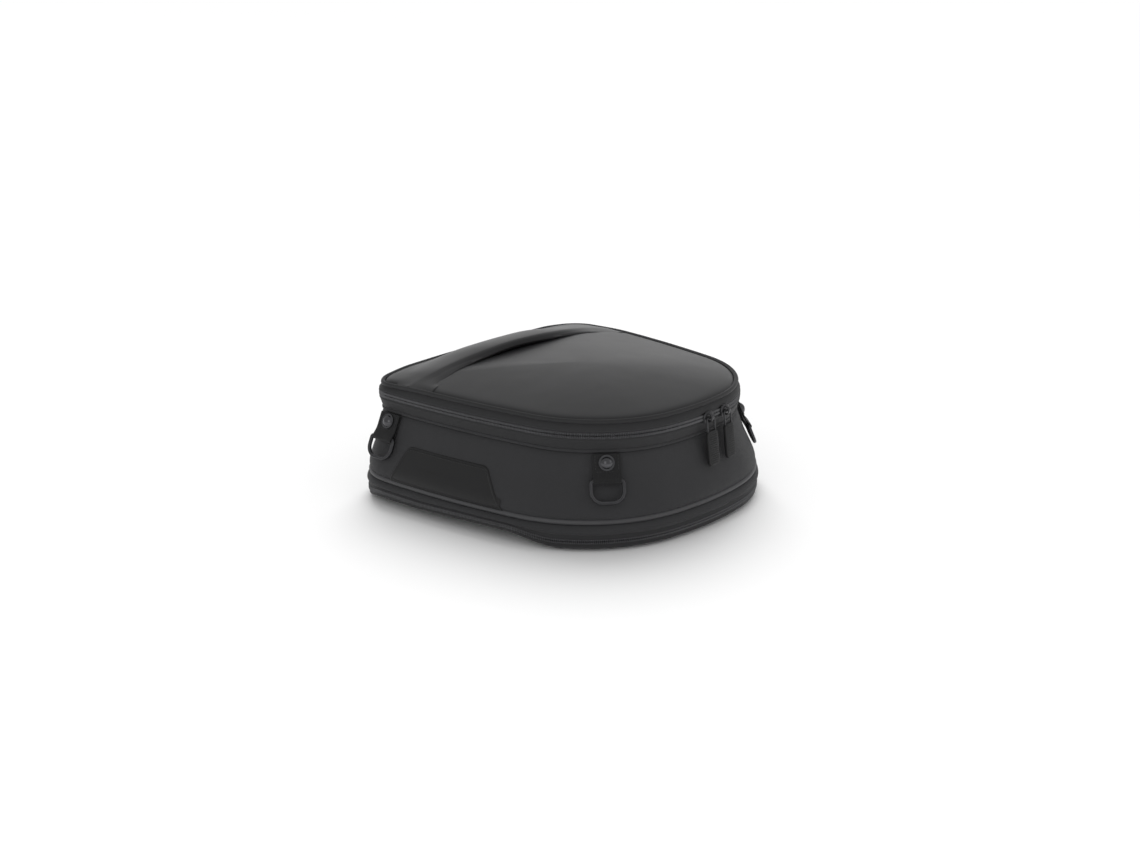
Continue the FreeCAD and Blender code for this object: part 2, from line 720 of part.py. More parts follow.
def write_expansion_zip():
    for upper, name in ((False, "lower"), (True, "upper")):
        tape, teeth = expansion_half(upper)
        write("expansion_tape_" + name, tape)
        write("expansion_teeth_" + name, teeth)
    write("expansion_slider", expansion_slider())
    write("expansion_pull", expansion_pull())


def main():
    os.makedirs("parts", exist_ok=True)
    drills = Part.makeCompound(rivet_holes())
    write("base_pan", base_pan())
    write("floor_board", floor_board())
    write("expansion_gusset", expansion_gusset())
    write_expansion_zip()
    write("lower_band", lower_band())
    write("base_piping", base_piping())
    write("body_wall", body_wall().cut(drills))
    write("wall_lining", wall_lining().cut(drills))
    write("top_piping", top_piping())
    write("side_patch_left", side_patch(-1))
    write("side_patch_right", side_patch(1))
    write_ring_loops()
    write_main_zip()
    write("hinge_strip", hinge_strip())
    write("lid_panel", lid_panel())
    write("lid_lining", lid_lining())
    write("lid_piping", lid_piping())
    write("handle", handle())


main()
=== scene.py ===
import bpy
import math
import random
from mathutils import Matrix, Vector, noise


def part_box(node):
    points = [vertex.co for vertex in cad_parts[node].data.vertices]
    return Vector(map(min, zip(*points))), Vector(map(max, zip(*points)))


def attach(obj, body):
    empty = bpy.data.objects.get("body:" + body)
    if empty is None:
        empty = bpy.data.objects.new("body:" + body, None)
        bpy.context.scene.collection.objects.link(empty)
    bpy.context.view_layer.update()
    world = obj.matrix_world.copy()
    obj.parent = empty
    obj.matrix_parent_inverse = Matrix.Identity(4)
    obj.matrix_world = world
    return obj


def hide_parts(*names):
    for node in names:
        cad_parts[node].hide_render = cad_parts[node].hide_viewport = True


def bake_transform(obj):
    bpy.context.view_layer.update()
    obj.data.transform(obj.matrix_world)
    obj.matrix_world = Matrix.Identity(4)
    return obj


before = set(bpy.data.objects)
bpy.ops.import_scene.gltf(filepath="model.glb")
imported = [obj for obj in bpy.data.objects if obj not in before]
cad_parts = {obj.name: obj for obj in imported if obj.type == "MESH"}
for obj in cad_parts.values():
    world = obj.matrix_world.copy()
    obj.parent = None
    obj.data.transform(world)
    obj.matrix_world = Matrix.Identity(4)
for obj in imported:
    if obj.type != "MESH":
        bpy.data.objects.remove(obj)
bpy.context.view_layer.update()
MM = 0.001

# Plan outlines: chains of tangent arcs, the same as the part's. Angles are those of the outward
# normal, from the rear (-Y) towards +X; both sides are alike.
SPANS = (9.0, 79.0, 89.5, 174.6, 180.0)
BASE = {"rear_y": 153.4 * MM, "radii": (301.1 * MM, 121.3 * MM, 808.5 * MM, 54.0 * MM)}
LID = {"rear_y": 140.7 * MM, "radii": (241.4 * MM, 105.6 * MM, 903.8 * MM, 26.2 * MM)}

# Seam heights, read from the frame
PAN_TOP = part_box("base_pan")[1].z
CHAIN_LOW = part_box("expansion_teeth_lower")[0].z
CHAIN_GAP_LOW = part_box("expansion_teeth_lower")[1].z
CHAIN_GAP_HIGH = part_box("expansion_teeth_upper")[0].z
CHAIN_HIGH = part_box("expansion_teeth_upper")[1].z
BAND_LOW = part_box("lower_band")[0].z
BAND_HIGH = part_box("lower_band")[1].z
PIPING_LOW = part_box("base_piping")[0].z
PIPING_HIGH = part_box("base_piping")[1].z
TOP_PIPING_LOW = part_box("top_piping")[0].z
TOP_PIPING_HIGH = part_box("top_piping")[1].z
ZIP_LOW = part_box("main_teeth_lower")[0].z
ZIP_GAP_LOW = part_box("main_teeth_lower")[1].z
ZIP_GAP_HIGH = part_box("main_teeth_upper")[0].z
ZIP_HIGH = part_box("main_teeth_upper")[1].z
ZIP_Z = (ZIP_GAP_LOW + ZIP_GAP_HIGH) / 2
RIM_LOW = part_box("lid_piping")[0].z
RIM_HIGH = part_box("lid_piping")[1].z
HINGE_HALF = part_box("hinge_strip")[1].x
STRIP_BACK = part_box("hinge_strip")[0].y

# Insets of the seams from their outline
PAN_FOOT_INSET = 9.0 * MM
PAN_LIP_INSET = 2.8 * MM
CHAIN_INSET = 2.3 * MM
BAND_SEAM_INSET = 1.7 * MM
TOP_SEAM_INSET = 3.1 * MM
RIM_SEAM_INSET = 3.2 * MM
RIM_CREST_INSET = 2.2 * MM
ZIP_INSET = 0.9 * MM
TOOTH_PROUD = 0.9 * MM
TAPE_THICKNESS = 1.2 * MM
WALL_THICKNESS = 4.0 * MM
LINING_THICKNESS = 0.9 * MM

# The wall stands out low down and is drawn in above
WALL_BULGE_Z = 37.0 * MM
WALL_BULGE = 1.3 * MM
WALL_WAIST_Z = 62.0 * MM
WALL_WAIST = 1.2 * MM

# The bottom seams rise along the front half of each side
ARCH_RISE = 7.5 * MM
ARCH_START_Y = -92.0 * MM
ARCH_FULL_Y = -44.0 * MM
ARCH_NOSE_Y = 98.0 * MM
ARCH_END_Y = 130.0 * MM
ARCH_LOW_Z = 5.0 * MM
ARCH_WIDTH = 40.0 * MM

# Below the piping the bag stands out a little, but not where its zip's slider runs
FLARE = 2.6 * MM
FLARE_CLIMB = 7.0 * MM
FLARE_GAP_ANGLE = 133.0

# The lid hangs at its front corners
DROOP = 3.0 * MM
DROOP_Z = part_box("main_teeth_upper")[1].z

# Lid crown
CROWN_Y = -6.0 * MM
CROWN_HEIGHT = 11.5 * MM
CROWN_POWER = 1.7
CROWN_EDGE_INSET = 5.9 * MM
CROWN_EDGE_Z = RIM_LOW + 2.9 * MM

# Carrying handle
HANDLE_CREST_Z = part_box("handle")[1].z
HANDLE_DROP = 15.5 * MM
HANDLE_CREST_Y = 88.0 * MM
HANDLE_END_X = 136.0 * MM
HANDLE_REAR_Y = 83.0 * MM
HANDLE_SWEEP = 25.0 * MM

COLUMNS = 560


def smooth(value, start, end):
    share = min(1.0, max(0.0, (value - start) / (end - start)))
    return share * share * (3 - 2 * share)


def mix(a, b, share):
    return a + (b - a) * share


# Outlines
def outward(angle):
    turn = math.radians(angle)
    return Vector((math.sin(turn), -math.cos(turn), 0))


def half_arcs(outline):
    rear_r, corner_r, side_r, nose_r = outline["radii"]
    rear = Vector((0, rear_r - outline["rear_y"], 0))
    corner = rear + outward(SPANS[0]) * (rear_r - corner_r)
    side = corner - outward(SPANS[1]) * (side_r - corner_r)
    nose = side + outward(SPANS[2]) * (side_r - nose_r)
    front_r = nose_r + nose.x / math.sin(math.radians(SPANS[3]))
    front = nose - outward(SPANS[3]) * (front_r - nose_r)
    return [(rear, rear_r), (corner, corner_r), (side, side_r), (nose, nose_r), (front, front_r)]


ARCS = {"base": half_arcs(BASE), "lid": half_arcs(LID)}


def outline_point(name, angle):
    turned = abs(angle)
    step = next(i for i, end in enumerate(SPANS) if turned <= end + 1e-6)
    centre, radius = ARCS[name][step]
    spot = centre + outward(turned) * radius
    return Vector((math.copysign(spot.x, angle), spot.y, 0))


def arch(y):
    along = smooth(y, ARCH_START_Y, ARCH_FULL_Y) * (1 - smooth(y, ARCH_NOSE_Y, ARCH_END_Y))
    return ARCH_RISE * along * (1 - 0.25 * smooth(y, -0.01, 0.06))


def arch_lift(y, z):
    height = min(1.0, max(0.0, (BAND_HIGH - z) / (BAND_HIGH - ARCH_LOW_Z)))
    return arch(y) * height


def flare(angle, z):
    away = smooth(abs((angle - FLARE_GAP_ANGLE + 180.0) % 360.0 - 180.0), 58.0, 74.0)
    return FLARE * smooth(PIPING_LOW + 1.0 * MM - z, 0.0, FLARE_CLIMB) * away


def droop(spot, z):
    corner = smooth(spot.y, 60 * MM, 140 * MM) * smooth(abs(spot.x), 90 * MM, 140 * MM)
    return DROOP * corner * smooth(z, DROOP_Z, RIM_LOW)


class Column:
    """One upright line of the bag's wall: where its normal points, and how far round it stands."""

    def __init__(self, angle, run):
        self.angle = angle
        self.run = run
        self.low = outline_point("base", angle)
        self.high = outline_point("lid", angle)
        self.out = outward(angle)

    def at(self, share, inset, z):
        spot = self.low.lerp(self.high, share) - self.out * (inset - flare(self.angle, z))
        return Vector((spot.x, spot.y, z + arch_lift(spot.y, z) - droop(spot, z)))


def columns_along(name, inset, spacing=None, count=None, start=-180.0, end=180.0):
    """Columns at even steps along an outline, between two directions of its normal."""
    marks = sorted({start, end} | {s * v for v in SPANS for s in (-1, 1) if start < s * v < end})
    runs = [0.0]
    for a, b in zip(marks, marks[1:]):
        middle = abs((a + b) / 2)
        step = next(i for i, limit in enumerate(SPANS) if middle <= limit)
        runs.append(runs[-1] + (ARCS[name][step][1] - inset) * math.radians(b - a))
    count = count or max(2, round(runs[-1] / spacing))
    made = []
    for i in range(count + 1):
        run = runs[-1] * i / count
        k = next(j for j in range(1, len(runs)) if run <= runs[j] + 1e-9)
        share = (run - runs[k - 1]) / (runs[k] - runs[k - 1])
        made.append(Column(mix(marks[k - 1], marks[k], share), run))
    return made


ROUND = columns_along("base", 0, count=COLUMNS)


# Meshes
def new_object(name, verts, faces, uvs=None, sharp=40.0):
    mesh = bpy.data.meshes.new(name)
    mesh.from_pydata([tuple(v) for v in verts], [], faces)
    if uvs:
        layer = mesh.uv_layers.new(name="cloth")
        layer.data.foreach_set("uv", [c for face in uvs for uv in face for c in uv])
    mesh.validate()
    mesh.shade_smooth()
    mesh.set_sharp_from_angle(angle=math.radians(sharp))
    made = bpy.data.objects.new(name, mesh)
    bpy.context.scene.collection.objects.link(made)
    return made


def loft(name, columns, section, cyclic=True, closed=True, caps=False, sharp=40.0):
    """A skin through one row of points per column. closed joins the row's ends."""
    used = columns[:-1] if cyclic else columns
    rows = [section(column) for column in used]
    size = len(rows[0])
    verts = [spot for row in rows for spot in row]
    climb = [0.0]
    for a, b in zip(rows[0], rows[0][1:] + rows[0][:1]):
        climb.append(climb[-1] + (b - a).length)
    faces = []
    uvs = []
    for i in range(len(columns) - 1):
        low = i * size
        high = ((i + 1) % len(used)) * size
        u, v = columns[i].run, columns[i + 1].run
        for j in range(size if closed else size - 1):
            k = (j + 1) % size
            faces.append((low + j, high + j, high + k, low + k))
            uvs.append(((u, climb[j]), (v, climb[j]), (v, climb[j + 1]), (u, climb[j + 1])))
    if caps and closed and not cyclic:
        last = (len(used) - 1) * size
        faces.append(tuple(range(size)))
        faces.append(tuple(last + j for j in reversed(range(size))))
        uvs.extend([((0, 0),) * size] * 2)
    return new_object(name, verts, faces, uvs, sharp)


def grid(name, rows, sharp=60.0, flip=False, wrap=False):
    """A sheet through rows of points of one length, with its own size as its cloth coordinates."""
    size = len(rows[0])
    verts = [spot for row in rows for spot in row]
    across = [[0.0] for row in rows]
    for row, runs in zip(rows, across):
        for a, b in zip(row, row[1:]):
            runs.append(runs[-1] + (b - a).length)
    middle = size // 2
    climb = [0.0]
    for a, b in zip(rows, rows[1:]):
        climb.append(climb[-1] + (b[middle] - a[middle]).length)
    faces = []
    uvs = []
    for i in range(len(rows) - 1):
        for j in range(size - 1):
            corner = [(i, j), (i, j + 1), (i + 1, j + 1), (i + 1, j)]
            if flip:
                corner.reverse()
            faces.append(tuple(a * size + b for a, b in corner))
            uvs.append(tuple((across[a][b], climb[a]) for a, b in corner))
    return new_object(name, verts, faces, uvs, sharp)


def joined(name, parts, sharp=40.0):
    """One object from a list of (vertices, faces)."""
    verts = []
    faces = []
    for part_verts, part_faces in parts:
        shift = len(verts)
        verts.extend(part_verts)
        faces.extend(tuple(shift + i for i in face) for face in part_faces)
    uvs = [tuple((verts[i].x + verts[i].y, verts[i].z) for i in face) for face in faces]
    return new_object(name, verts, faces, uvs, sharp)


def tube(path, radius, sides=8, closed=False, normal=None):
    """Vertices and faces of a round tube along a list of points."""
    verts = []
    faces = []
    count = len(path)
    side_way = None
    for i, spot in enumerate(path):
        after = path[(i + 1) % count] if closed or i + 1 < count else spot
        before = path[i - 1] if closed or i else spot
        along = (after - before).normalized()
        if side_way is None:
            helper = normal or (Vector((0, 0, 1)) if abs(along.z) < 0.9 else Vector((1, 0, 0)))
            side_way = along.cross(helper).normalized()
        side_way = (side_way - along * side_way.dot(along)).normalized()
        third = along.cross(side_way)
        for k in range(sides):
            turn = 2 * math.pi * k / sides
            verts.append(spot + (side_way * math.cos(turn) + third * math.sin(turn)) * radius)
    for i in range(count if closed else count - 1):
        for k in range(sides):
            a = i * sides + k
            b = i * sides + (k + 1) % sides
            c = ((i + 1) % count) * sides + (k + 1) % sides
            d = ((i + 1) % count) * sides + k
            faces.append((a, b, c, d))
    if not closed:
        faces.append(tuple(reversed(range(sides))))
        faces.append(tuple((count - 1) * sides + k for k in range(sides)))
    return verts, faces


def place_on(spot, angle, tilt=0.0):
    """Local x runs along the bag's side, -y points out of it and z is up."""
    return (Matrix.Translation(spot) @ Matrix.Rotation(math.radians(angle), 4, "Z")
            @ Matrix.Rotation(math.radians(-tilt), 4, "X"))


# Shader writing
class Wire:
    """A shader socket that can be written in sums."""

    tree = None

    def __init__(self, socket):
        self.socket = socket

    @classmethod
    def node(cls, kind, settings=None, **inputs):
        made = cls.tree.nodes.new("ShaderNode" + kind)
        for key, value in (settings or {}).items():
            if key == "stops":
                ramp = made.color_ramp
                ramp.elements[0].position, ramp.elements[0].color = value[0]
                ramp.elements[1].position, ramp.elements[1].color = value[-1]
                for place, colour in value[1:-1]:
                    ramp.elements.new(place).color = colour
            else:
                setattr(made, key, value)
        for key, value in inputs.items():
            socket = made.inputs[int(key[1:])] if key[0] == "i" and key[1:].isdigit() else made.inputs[key.replace("_", " ")]
            if isinstance(value, Wire):
                cls.tree.links.new(value.socket, socket)
            else:
                socket.default_value = value
        return made

    @classmethod
    def math(cls, operation, *values):
        inputs = {f"i{i}": value for i, value in enumerate(values)}
        return Wire(cls.node("Math", {"operation": operation}, **inputs).outputs[0])

    def __add__(self, other):
        return Wire.math("ADD", self, other)

    def __mul__(self, other):
        return Wire.math("MULTIPLY", self, other)

    def __sub__(self, other):
        return Wire.math("SUBTRACT", self, other)

    def __rsub__(self, other):
        return Wire.math("SUBTRACT", other, self)

    def __truediv__(self, other):
        return Wire.math("DIVIDE", self, other)

    __radd__ = __add__
    __rmul__ = __mul__

    def to(self, low, high):
        return Wire.math("MULTIPLY_ADD", self, high - low, low)


def noise_of(place, scale, detail=3.0, roughness=0.55):
    made = Wire.node("TexNoise", None, Vector=place, Scale=scale, Detail=detail, Roughness=roughness)
    return Wire(made.outputs["Fac"])


def object_place():
    return Wire(Wire.node("TexCoord").outputs["Object"])


def cloth_place():
    return Wire(Wire.node("UVMap", {"uv_map": "cloth"}).outputs["UV"])


def split(place):
    made = Wire.node("SeparateXYZ", None, Vector=place)
    return Wire(made.outputs[0]), Wire(made.outputs[1])


def weave(place, pitch):
    """Plain weave: over and under threads of one pitch."""
    u, v = split(place)
    turn = math.pi / pitch
    over = Wire.math("SINE", u * turn) * Wire.math("SINE", v * turn)
    warp = Wire.math("ABSOLUTE", Wire.math("COSINE", u * (turn * 2)))
    weft = Wire.math("ABSOLUTE", Wire.math("COSINE", v * (turn * 2)))
    chosen = Wire.math("GREATER_THAN", over, 0.0)
    return chosen * warp + (1.0 - chosen) * weft


def colour_between(factor, low, high):
    made = Wire.node("Mix", {"data_type": "RGBA"}, i0=factor, i6=(*low, 1), i7=(*high, 1))
    return Wire(made.outputs[2])


MATERIALS = {}


def material(name, surface):
    """A material whose surface function returns the values and links of its shader's sockets."""
    if name not in MATERIALS:
        made = bpy.data.materials.new(name)
        made.use_nodes = True
        tree = made.node_tree
        tree.nodes.clear()
        Wire.tree = tree
        height, strength, distance, inputs = surface()
        if height is not None:
            bump = Wire.node("Bump", None, Height=height, Strength=strength, Distance=distance)
            inputs["Normal"] = Wire(bump.outputs[0])
        shader = Wire.node("BsdfPrincipled")
        for key, value in inputs.items():
            if isinstance(value, Wire):
                tree.links.new(value.socket, shader.inputs[key])
            else:
                shader.inputs[key].default_value = value
        output = Wire.node("OutputMaterial")
        tree.links.new(shader.outputs[0], output.inputs[0])
        MATERIALS[name] = made
    return MATERIALS[name]


def grey(value, tint=(1.0, 1.0, 1.06)):
    return tuple(value * channel for channel in tint)


def coated_cloth():
    """The lid's smooth coated cloth: satin, with a very fine grain."""
    place = object_place()
    grain = noise_of(place, 900.0, 2.0)
    cloud = noise_of(place, 14.0)
    return grain, 0.16, 0.0003, {
        "Base Color": colour_between(cloud, grey(0.013), grey(0.017)),
        "Roughness": noise_of(place, 35.0).to(0.33, 0.38), "Specular IOR Level": 0.2}


def ballistic_cloth():
    """The wall's matte close weave."""
    place = cloth_place()
    threads = weave(place, 0.00075)
    fuzz = noise_of(object_place(), 1400.0, 2.0)
    cloud = noise_of(object_place(), 22.0)
    tone = threads * 0.35 + fuzz * 0.4 + cloud * 0.25
    return threads * 0.7 + fuzz * 0.3, 0.5, 0.0002, {
        "Base Color": colour_between(tone, grey(0.016), grey(0.047)),
        "Roughness": cloud.to(0.72, 0.82), "Specular IOR Level": 0.25,
        "Sheen Weight": 0.06, "Sheen Roughness": 0.5}


def tape_cloth():
    """Zip tape: fine ribs along its length."""
    place = cloth_place()
    u, v = split(place)
    ribs = Wire.math("SINE", v * (2 * math.pi / 0.0008)) * 0.5 + 0.5
    fuzz = noise_of(object_place(), 1300.0, 2.0)
    return ribs * 0.6 + fuzz * 0.4, 0.6, 0.0002, {
        "Base Color": colour_between(fuzz * 0.6 + ribs * 0.4, grey(0.012), grey(0.034)),
        "Roughness": fuzz.to(0.6, 0.75), "Specular IOR Level": 0.3,
        "Sheen Weight": 0.05, "Sheen Roughness": 0.5}


def strap_cloth():
    """Webbing: a coarse herringbone of flat threads."""
    place = cloth_place()
    u, v = split(place)
    rib = Wire.math("SINE", u * (2 * math.pi / 0.0014)) * 0.5 + 0.5
    pick = Wire.math("SINE", (v + u * 0.5) * (2 * math.pi / 0.0009)) * 0.5 + 0.5
    fuzz = noise_of(object_place(), 1500.0, 2.0)
    return rib * 0.5 + pick * 0.35 + fuzz * 0.15, 0.8, 0.0003, {
        "Base Color": colour_between(rib * 0.4 + pick * 0.3 + fuzz * 0.3, grey(0.004), grey(0.014)),
        "Roughness": fuzz.to(0.6, 0.8), "Specular IOR Level": 0.3,
        "Sheen Weight": 0.04, "Sheen Roughness": 0.5}


def satin_piping():
    """Smooth cord piping with slight wear on its crest."""
    place = object_place()
    wear = noise_of(place, 120.0)
    return noise_of(place, 700.0, 2.0), 0.2, 0.0002, {
        "Base Color": colour_between(wear, grey(0.044), grey(0.06)),
        "Roughness": wear.to(0.42, 0.55), "Specular IOR Level": 0.4}


def dark_piping():
    place = object_place()
    wear = noise_of(place, 90.0)
    return noise_of(place, 1100.0, 2.0), 0.35, 0.0002, {
        "Base Color": colour_between(wear, grey(0.013), grey(0.022)),
        "Roughness": wear.to(0.55, 0.68), "Specular IOR Level": 0.3,
        "Sheen Weight": 0.04, "Sheen Roughness": 0.5}


def moulded_patch():
    place = object_place()
    cloud = noise_of(place, 40.0)
    return noise_of(place, 1000.0, 2.0), 0.12, 0.0002, {
        "Base Color": colour_between(cloud, grey(0.006), grey(0.009)),
        "Roughness": cloud.to(0.42, 0.52), "Specular IOR Level": 0.35}


def pan_rubber():
    place = object_place()
    dots = Wire(Wire.node("TexVoronoi", {"feature": "F1"}, Vector=place, Scale=520.0).outputs["Distance"])
    cloud = noise_of(place, 30.0)
    return dots, 0.6, 0.0003, {
        "Base Color": colour_between(cloud, grey(0.045), grey(0.07)),
        "Roughness": cloud.to(0.6, 0.75), "Specular IOR Level": 0.3}


def lining_cloth():
    place = object_place()
    folds = noise_of(place, 26.0, 4.0)
    threads = noise_of(place, 1100.0, 2.0)
    return folds * 0.8 + threads * 0.2, 0.5, 0.0012, {
        "Base Color": colour_between(threads, grey(0.13), grey(0.18)),
        "Roughness": folds.to(0.55, 0.7), "Specular IOR Level": 0.4,
        "Sheen Weight": 0.2, "Sheen Roughness": 0.4}


def coil_plastic():
    place = object_place()
    cloud = noise_of(place, 300.0)
    return cloud, 0.1, 0.0001, {
        "Base Color": colour_between(cloud, grey(0.06), grey(0.1)),
        "Roughness": cloud.to(0.28, 0.38), "Specular IOR Level": 0.6}


def lacquered_metal():
    place = object_place()
    worn = noise_of(place, 260.0, 4.0)
    return worn, 0.06, 0.0001, {
        "Base Color": colour_between(worn, grey(0.03), grey(0.06)), "Metallic": 0.7,
        "Roughness": worn.to(0.26, 0.42)}


def gunmetal():
    place = object_place()
    worn = noise_of(place, 240.0, 4.0)
    return worn, 0.08, 0.0001, {
        "Base Color": colour_between(worn, grey(0.04), grey(0.07)), "Metallic": 0.85,
        "Roughness": worn.to(0.3, 0.44)}


def polished_cap():
    place = object_place()
    worn = noise_of(place, 200.0, 4.0)
    return worn, 0.04, 0.0001, {
        "Base Color": colour_between(worn, grey(0.06), grey(0.1)), "Metallic": 0.95,
        "Roughness": worn.to(0.16, 0.26)}


def tab_cloth():
    place = object_place()
    fuzz = noise_of(place, 1200.0, 2.0)
    return fuzz, 0.4, 0.0002, {
        "Base Color": colour_between(fuzz, grey(0.005), grey(0.012)),
        "Roughness": fuzz.to(0.55, 0.7), "Specular IOR Level": 0.4}


def board_plastic():
    place = object_place()
    grain = noise_of(place, 500.0, 3.0)
    return grain, 0.3, 0.0003, {
        "Base Color": colour_between(grain, grey(0.02), grey(0.034)),
        "Roughness": grain.to(0.6, 0.75)}


def stitch_thread():
    place = object_place()
    fuzz = noise_of(place, 1800.0, 2.0)
    return fuzz, 0.3, 0.0001, {
        "Base Color": colour_between(fuzz, grey(0.012), grey(0.03)), "Roughness": fuzz.to(0.5, 0.7)}


FINISHES = {
    "lid_fabric": coated_cloth, "body_fabric": ballistic_cloth, "zip_tape": tape_cloth, "webbing": strap_cloth,
    "piping": satin_piping, "dark_piping": dark_piping, "moulded_patch": moulded_patch,
    "anti_slip_base": pan_rubber, "lining": lining_cloth, "gusset_fabric": tape_cloth,
    "zip_teeth": coil_plastic, "zip_metal": lacquered_metal, "ring_metal": gunmetal, "rivet_metal": polished_cap,
    "pull_tab": tab_cloth, "stiffener_board": board_plastic}


def dress(piece, slot, body=None, replaces=(), finish=None):
    """Gives a piece its finish (named after its slot unless another finish is given), its body and the nodes that it
    stands for.
    """
    piece.data.materials.clear()
    piece.data.materials.append(material(finish.__name__ if finish else slot, finish or FINISHES[slot]))
    if replaces:
        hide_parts(*replaces)
    if body:
        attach(piece, body)
    return piece


# Sections shared by the bands round the bag
def bead(low_z, high_z, crest_inset, depth, steps=10):
    """A half-round bead: pairs of inset and height."""
    half = (high_z - low_z) / 2
    middle = (high_z + low_z) / 2
    made = []
    for i in range(steps + 1):
        turn = math.pi * (i / steps - 0.5)
        made.append((crest_inset + depth * (1 - math.cos(turn)), middle + half * math.sin(turn)))
    return made


def backed(profile, thickness):
    """The profile and, behind it, the same run backwards."""
    return profile + [(inset + thickness, z) for inset, z in reversed(profile)]


def band(name, columns, share_of, profile, cyclic=True, wobble=None, sharp=50.0):
    def section(column):
        spots = []
        for inset, z in profile:
            spot = column.at(share_of(z), inset, z)
            if wobble:
                spot = spot + column.out * wobble(spot)
            spots.append(spot)
        return spots
    return loft(name, columns, section, cyclic=cyclic, caps=not cyclic, sharp=sharp)


def at_base(z):
    return 0.0


def at_lid(z):
    return 1.0


def wall_share(z):
    return (z - (PIPING_LOW + PIPING_HIGH) / 2) / (TOP_PIPING_HIGH + 0.3 * MM - (PIPING_LOW + PIPING_HIGH) / 2)


def wall_inset(z):
    """Inset of the wall's outer face from its mixed outline."""
    share = wall_share(z)
    low = PIPING_HIGH
    high = TOP_PIPING_LOW
    climb = (z - low) / (high - low)
    swell = WALL_BULGE * math.exp(-((z - WALL_BULGE_Z) / (9.0 * MM)) ** 2)
    waist = WALL_WAIST * smooth(z, WALL_BULGE_Z + 8 * MM, WALL_WAIST_Z)
    tuck = 1.5 * MM * (math.exp(-climb / 0.04) + math.exp(-(1 - climb) / 0.03))
    return TOP_SEAM_INSET * share - swell + waist + tuck


def cloth_wobble(size, scale, seed):
    def wobble(spot):
        shifted = spot * scale + Vector((seed, seed * 0.7, 0))
        return size * noise.noise(shifted)
    return wobble


# Base
def make_base_pan():
    floor_insets = (PAN_LIP_INSET + 0.2 * MM, 4.4 * MM, 6.4 * MM, PAN_FOOT_INSET, 14 * MM, 20 * MM, 27 * MM,
                    34 * MM, 44 * MM)

    def foot_height(inset):
        if inset < PAN_FOOT_INSET:
            return 3.2 * MM * (1 - (inset - PAN_LIP_INSET) / (PAN_FOOT_INSET - PAN_LIP_INSET)) ** 2
        return 0.0

    def section(column):
        spots = []
        lift = arch(column.low.y)
        for inset in reversed(floor_insets):
            spot = column.low - column.out * inset
            fade = 1 - smooth(inset, 10 * MM, ARCH_WIDTH)
            spots.append(Vector((spot.x, spot.y, foot_height(inset) + lift * fade)))
        for inset, z in ((PAN_LIP_INSET, 3.6 * MM), (PAN_LIP_INSET - 0.1 * MM, PAN_TOP - 0.4 * MM),
                         (PAN_LIP_INSET + 0.5 * MM, PAN_TOP), (PAN_LIP_INSET + 2.2 * MM, PAN_TOP),
                         (PAN_LIP_INSET + 2.6 * MM, PAN_TOP - 2.2 * MM)):
            spots.append(column.at(0, inset, z))
        for inset in (12 * MM, 25 * MM, 44 * MM):
            spot = column.low - column.out * inset
            fade = 1 - smooth(inset, 10 * MM, ARCH_WIDTH)
            spots.append(Vector((spot.x, spot.y, 2.2 * MM + lift * fade)))
        return spots

    rim = loft("anti_slip_base_rim", ROUND, section, closed=False, sharp=45.0)
    dress(rim, "anti_slip_base", "base", ["base_pan"])
    floors = []
    for level, flip in ((0.0, True), (2.2 * MM, False)):
        centre = Vector((0, 0, level))
        edge = []
        for column in ROUND[:-1]:
            spot = column.low - column.out * (44 * MM)
            edge.append(Vector((spot.x, spot.y, level)))
        verts = list(edge)
        size = len(edge)
        faces = []
        previous = 0
        for share in (0.8, 0.6, 0.4, 0.2):
            start = len(verts)
            verts.extend(centre.lerp(spot, share) for spot in edge)
            for i in range(size):
                k = (i + 1) % size
                face = (previous + i, previous + k, start + k, start + i)
                faces.append(face if not flip else tuple(reversed(face)))
            previous = start
        verts.append(centre)
        for i in range(size):
            face = (previous + i, previous + (i + 1) % size, len(verts) - 1)
            faces.append(face if not flip else tuple(reversed(face)))
        floors.append((verts, faces))
    floor = joined("anti_slip_base_floor", floors)
    dress(floor, "anti_slip_base", "base")


def make_floor_board():
    outline = [column.low - column.out * (12 * MM) for column in ROUND[:-1:4]]
    low = 2.3 * MM
    high = 4.6 * MM
    count = len(outline)
    verts = []
    rings = ((0.0, low), (-0.0008, low + 0.0008), (-0.0008, high - 0.0008), (0.0, high), (0.0015, high))
    for inward, z in rings:
        for column in ROUND[:-1:4]:
            spot = column.low - column.out * (12 * MM + inward)
            rise = arch(column.low.y) * (1 - smooth(12 * MM, 10 * MM, ARCH_WIDTH))
            verts.append(Vector((spot.x, spot.y, z + rise)))
    for share in (0.85, 0.7, 0.5, 0.25):
        for column in ROUND[:-1:4]:
            spot = (column.low - column.out * (13.5 * MM)) * share
            verts.append(Vector((spot.x, spot.y, high)))
    faces = []
    levels = len(rings) + 4
    for k in range(levels - 1):
        for i in range(count):
            j = (i + 1) % count
            faces.append((k * count + i, k * count + j, (k + 1) * count + j, (k + 1) * count + i))
    verts.append(Vector((0, 0, high)))
    for i in range(count):
        faces.append(((levels - 1) * count + i, (levels - 1) * count + (i + 1) % count, len(verts) - 1))
    faces.append(tuple(reversed(range(count))))
    board = joined("floor_board_cover", [(verts, faces)])
    dress(board, "lining", "base", ["floor_board"])


